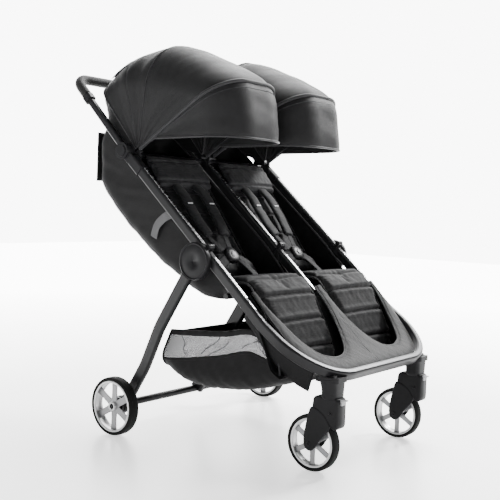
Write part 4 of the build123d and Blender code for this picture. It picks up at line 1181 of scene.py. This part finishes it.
for side, name in sides:
    spec = casterSpec
    at = frontAxle * (side * np.sign(frontAxle[0]), 1, 1)

    def outline(line, radius):
        return roundedLoop([(at[1] - f, at[2] + u) for f, u in line], radius)

    block = pillow("casterBlock_" + name, outline(blockLine, 0.006), at[0] - spec["blockHalf"],
        at[0] + spec["blockHalf"], plasticBlack, 0.0012, 0.003)
    place(block, "caster_" + name, "black_plastic", "caster_block_" + name)
    first = None
    for hand in (-1, 1):
        xs = sorted((at[0] + hand * spec["cheekIn"], at[0] + hand * spec["cheekOut"]))
        cheek = pillow(f"forkCheek{'In' if hand * side < 0 else 'Out'}_{name}", outline(cheekLine, 0.008),
            xs[0], xs[1], plasticBlack, 0.0008, 0.0014)
        place(cheek, "fork_" + name, "black_plastic")
        first = first or cheek
        for tag, f, u, r, body in (("Axle", 0, 0, spec["axleDot"], "fork_"),
                ("Pivot", *spec["pivotAt"], spec["pivotDot"], "caster_")):
            spot = np.array([0, at[1] - f, at[2] + u])
            out = at[0] + hand * spec["dotFace"]
            ring = [(0.0001, out - hand * 0.003), (r, out - hand * 0.003), (r, out + hand * 0.0012),
                (r - 0.0012, out + hand * 0.0017), (r * 0.45, out + hand * 0.0016),
                (r * 0.4, out + hand * 0.0004), (0.0001, out + hand * 0.0004)]
            place(lathe(f"{tag}Dot{'In' if hand * side < 0 else 'Out'}_{name}", ring, spot, plasticSmooth,
                1, 32), body + name, "black_plastic")
    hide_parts("caster_fork_" + name)
    stub = np.array([[at[0] - spec["stubHalf"], at[1], at[2]], [at[0] + spec["stubHalf"], at[1], at[2]]])
    place(sweep("axleStub_" + name, smoothPath(stub, 6), spec["stubRadius"], spec["stubRadius"], steel,
        ref=(0, 0, 1)), "fork_" + name, "steel")
    low, middle, high = spec["sleeve"]
    column = np.array([[at[0], stemAxis[1], low], [at[0], stemAxis[1], middle],
        [at[0], stemAxis[1] + 0.002, high]])
    flare = np.linspace(0, 1, 30) ** 2
    place(sweep("stemSleeve_" + name, smoothPath(column, 30), 0.0225 + 0.003 * flare,
        0.0265 + 0.006 * flare, plasticBlack, ref=(1, 0, 0), sidesN=40, power=4.5), "lower_frame",
        "black_plastic")
print("stage: casters")

# handle grip with stitched ribs, round the two corners and along the bar
handleAngle = radians(43.8)
handleDir = np.array([0, cos(handleAngle), sin(handleAngle)])
gripSpec = dict(x=0.327, bend=0.048, arm=0.084, radius=0.0150, rib=0.0006, pitch=0.0066)
quarter = np.linspace(0, pi / 2, 60)
gripHalf = np.concatenate([
    np.column_stack([np.full(30, gripSpec["x"]), np.linspace(-gripSpec["arm"], -gripSpec["bend"], 30,
    endpoint=False)]),
    np.column_stack([gripSpec["x"] - gripSpec["bend"] + gripSpec["bend"] * np.cos(quarter),
    -gripSpec["bend"] + gripSpec["bend"] * np.sin(quarter)]),
    np.column_stack([np.linspace(gripSpec["x"] - gripSpec["bend"], 0, 260)[1:], np.zeros(259)]),
])
gripPlan = np.concatenate([gripHalf, gripHalf[-2::-1] * (-1, 1)])
gripPath = gripTop * (0, 1, 1) + np.outer(gripPlan[:, 0], [1, 0, 0]) + np.outer(gripPlan[:, 1], handleDir)
gripPath = smoothPath(gripPath, 760)
gripRun = np.concatenate([[0], np.cumsum(np.linalg.norm(np.diff(gripPath, axis=0), axis=1))])
ends = np.clip(np.minimum(gripRun, gripRun[-1] - gripRun) / 0.004, 0.75, 1)
ribs = (gripSpec["radius"] + gripSpec["rib"] * np.abs(np.sin(pi * gripRun / gripSpec["pitch"]))
    - gripSpec["rib"] / 2) * ends
gripNormal = tuple(np.cross(np.array([1.0, 0, 0]), handleDir))
grip = sweep("gripSleeve", gripPath, ribs, ribs, gripLeather, ref=gripNormal, sidesN=26)
place(grip, "handle", "grip", "handle_grip")
seamLine = gripPath + np.outer(ribs * 0.98, gripNormal) * -1
place(sweep("gripSeam", seamLine[::4], 0.0009, 0.0007, webbing, ref=gripNormal, sidesN=6), "handle", "grip")
print("stage: grip")

# footwell panel: a padded sheet round two teardrop openings
panelSpec = dict(front=-0.4560, mouth=-0.4070, back=-0.2370, inner=0.3125, bend=0.146, rows=26, columns=240,
    crown=0.0052, thick=0.0055)
panelY = (-0.4640, -0.4009, -0.3516, -0.3033, -0.2342)
panelZ = (0.2575, 0.2976, 0.3408, 0.3906, 0.4607)
panelUp = np.array([0, -0.562, 0.827])  # the way the panel faces


def keyedPath(points, count):
    # cubic Hermite with one unit of parameter a point, so two paths keep in step
    p = np.asarray(points, float)
    m = np.gradient(p, axis=0)
    s = np.linspace(0, len(p) - 1, count)
    i = np.clip(s.astype(int), 0, len(p) - 2)
    u = (s - i)[:, None]
    return ((2 * u**3 - 3 * u**2 + 1) * p[i] + (u**3 - 2 * u**2 + u) * m[i]
            + (3 * u**2 - 2 * u**3) * p[i + 1] + (u**3 - u**2) * m[i + 1])


def panelGrid(side):
    # rings between the panel's half outline and its opening, laid on the profile height(y)
    spec = panelSpec
    b, turn = spec["bend"], [radians(v) for v in (-90, -67, -45, -22, 0)]
    arc = [(spec["inner"] - b + b * cos(v), spec["front"] + b + b * sin(v)) for v in turn]
    m = spec["mouth"]
    outer = [(0, spec["back"]), (0, m + 0.12), (0, m + 0.066), (0, m + 0.03), (0, spec["front"]),
        (0.05, spec["front"]), (0.11, spec["front"])]
    outer += arc + [(spec["inner"], m + 0.13), (spec["inner"], spec["back"])]
    inner = [(0.016, spec["back"]), (0.022, m + 0.115), (0.043, m + 0.066), (0.060, m + 0.042),
        (0.078, m + 0.022), (0.100, m + 0.007), (0.125, m - 0.001),
             (0.155, m - 0.003), (0.185, m + 0.003), (0.214, m + 0.015), (0.238, m + 0.038),
             (0.258, m + 0.066), (0.292, m + 0.13), (0.298, spec["back"])]
    a, c = keyedPath(outer, spec["columns"]), keyedPath(inner, spec["columns"])
    v = np.linspace(0, 1, spec["rows"])[:, None, None]
    plan = a[None] * (1 - v) + c[None] * v
    x, y = side * np.clip(plan[..., 0], 0, None), np.clip(plan[..., 1], spec["front"], None)
    z = smoothValue(y, panelY, panelZ)
    grid = np.stack([x, y, z], -1)
    wide = np.linalg.norm(a - c, axis=1)[None]
    outerRim = np.where(a[:, 0] < 0.001, 1.0, 0.0)[None] + v[..., 0] * wide
    near = np.minimum(np.minimum((1 - v[..., 0]) * wide, outerRim), y - spec["front"])
    crown = spec["crown"] * np.sin(pi / 2 * np.clip(near / 0.026, 0, 1)) ** 0.7
    stitch = 0.0016 * np.exp(-(((1 - v[..., 0]) * wide - 0.007) / 0.0014) ** 2)
    return grid + (crown - stitch + 0.003 + 0.0005 * ripple(x * 9, y * 9, 21))[..., None] * panelUp


for side, name in sides:
    grid = panelGrid(side)
    panel = sheetMesh("footPanel_" + name, grid if side < 0 else grid[:, ::-1], panelSpec["thick"],
        panelCloth)
    place(panel, "lower_frame", "seat_cloth")
    if side > 0:
        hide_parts("footwell_panel")
    welt = grid[-1] + panelUp * 0.001
    rim = grid[1, 60:220] + panelUp * 0.001
    extras = [sweep("footWelt_" + name, smoothPath(welt[::4], 200), 0.0024, 0.0024, pipingCloth,
        ref=panelUp, sidesN=10),
              sweep("footEdge_" + name, smoothPath(rim[::6], 160), 0.0022, 0.0022, pipingCloth, ref=panelUp,
              sidesN=10)]
    for piece in extras:
        place(piece, "lower_frame", "seat_cloth")
# side walls of cloth under the loop, outside the openings
for side, name in sides:
    spec = panelSpec
    turn = np.radians(np.linspace(0, -48, 24))
    run = np.concatenate([
        np.column_stack([np.full(20, spec["inner"]),
        np.linspace(-0.235, spec["front"] + spec["bend"], 20, endpoint=False)]),
        np.column_stack([spec["inner"] - spec["bend"] + spec["bend"] * np.cos(turn),
        spec["front"] + spec["bend"] + spec["bend"] * np.sin(turn)]),
    ])
    low = np.linspace(0, 1, 10)[None, :, None]
    top = np.column_stack([side * run[:, 0], run[:, 1], smoothValue(run[:, 1], panelY, panelZ) - 0.006])
    wall = top[:, None] + low * np.array([-side * 0.012, 0.026, -0.066])
    wall[..., 0] += 0.002 * ripple(wall[..., 1] * 12, low[..., 0] * 2, 61) * low[..., 0]
    gusset = sheetMesh("footGusset_" + name, wall if side < 0 else wall[:, ::-1], 0.0016, hammockCloth)
    place(gusset, "lower_frame", "hammock_cloth")
print("stage: footwell")


# floor, lights, camera
def areaLight(name, location, target, size, power):
    # a rectangular light aimed at its target
    data = bpy.data.lights.new(name, "AREA")
    data.shape, data.size, data.size_y = "RECTANGLE", size[0], size[1]
    data.energy = power
    obj = bpy.data.objects.new(name, data)
    obj.location = location
    obj.rotation_mode = "QUATERNION"
    obj.rotation_quaternion = (Vector(target) - Vector(location)).to_track_quat("-Z", "Y")
    bpy.context.scene.collection.objects.link(obj)


studioSpec = dict(
    floorHalf=9, floorTone=0.93, floorRough=0.32, glowFrom=0.9, glowTo=4.0, glowLow=1.1, glowHigh=8.5,
    cardWay=(0.786, 0.619, 0), cardFrom=0.6, cardTo=0.82, dim=0.3, bright=9.0, focus=(0, 0, 0.5),
)
spec = studioSpec
across = np.linspace(-spec["floorHalf"], spec["floorHalf"], 3)
floorGrid = np.stack(np.meshgrid(across, across, indexing="ij") + [np.zeros((3, 3))], -1)
floorMaterial = bpy.data.materials.new("floor")
floorMaterial.use_nodes = True
floorShader = next(n for n in floorMaterial.node_tree.nodes if n.type == "BSDF_PRINCIPLED")
floorShader.inputs["Base Color"].default_value = (*[spec["floorTone"]] * 3, 1)
floorShader.inputs["Roughness"].default_value = spec["floorRough"]
floorShader.inputs["Emission Color"].default_value = (1, 1, 1, 1)
floorTree = floorMaterial.node_tree
floorPlace = node(floorTree, "ShaderNodeTexCoord").outputs["Object"]
floorReach = node(floorTree, "ShaderNodeVectorMath", {0: floorPlace}, operation="LENGTH").outputs["Value"]
floorGlow = node(floorTree, "ShaderNodeMapRange",
    {"Value": floorReach, "From Min": spec["glowFrom"], "From Max": spec["glowTo"],
    "To Min": spec["glowLow"], "To Max": spec["glowHigh"]})
floorTree.links.new(floorGlow.outputs[0], floorShader.inputs["Emission Strength"])
floorShader.inputs["Specular IOR Level"].default_value = 0.3
floor = surface("floor", floorGrid, floorMaterial)

world = bpy.data.worlds.new("studio")
bpy.context.scene.world = world
world.use_nodes = True
background = next(n for n in world.node_tree.nodes if n.type == "BACKGROUND")
background.inputs[0].default_value = (1, 1, 1, 1)
# a white card stands behind the object, the rest of the room is dim
skyPoint = node(world.node_tree, "ShaderNodeTexCoord").outputs["Generated"]
cardSide = node(world.node_tree, "ShaderNodeVectorMath", {0: skyPoint, 1: spec["cardWay"]},
    operation="DOT_PRODUCT").outputs["Value"]
card = node(world.node_tree, "ShaderNodeMapRange",
    {"Value": cardSide, "From Min": spec["cardFrom"], "From Max": spec["cardTo"], "To Min": spec["dim"],
    "To Max": spec["bright"]})
world.node_tree.links.new(card.outputs[0], background.inputs[1])
areaLight("topBox", (0.9, 0.2, 3.0), spec["focus"], (1.5, 1.5), 150)
areaLight("keyBox", (2.7, -0.9, 2.7), spec["focus"], (0.7, 0.7), 210)
areaLight("sideBox", (-2.8, 0.6, 1.8), spec["focus"], (0.7, 1.6), 22)

cameraSpec = dict(x=-2.062, y=-1.828, height=0.693, yaw=51.761, pitch=3.056, roll=1.997, lens=60.65)
yaw, pitch, roll = (radians(cameraSpec[k]) for k in ("yaw", "pitch", "roll"))
viewDir = np.array([sin(yaw) * cos(pitch), cos(yaw) * cos(pitch), -sin(pitch)])
flatRight = np.array([cos(yaw), -sin(yaw), 0])
flatUp = np.cross(flatRight, viewDir)
camRight = flatRight * cos(roll) + flatUp * sin(roll)
camUp = flatUp * cos(roll) - flatRight * sin(roll)
cameraData = bpy.data.cameras.new("camera")
cameraData.lens = cameraSpec["lens"]
cameraData.sensor_width = 36
camera = bpy.data.objects.new("camera", cameraData)
turn = Matrix([camRight.tolist(), camUp.tolist(), (-viewDir).tolist()]).transposed()
camera.matrix_world = Matrix.Translation((cameraSpec["x"], cameraSpec["y"] + rearAxle[1],
    cameraSpec["height"])) @ turn.to_4x4()
bpy.context.scene.collection.objects.link(camera)
bpy.context.scene.camera = camera

bpy.context.view_layer.update()
print("stage: done")
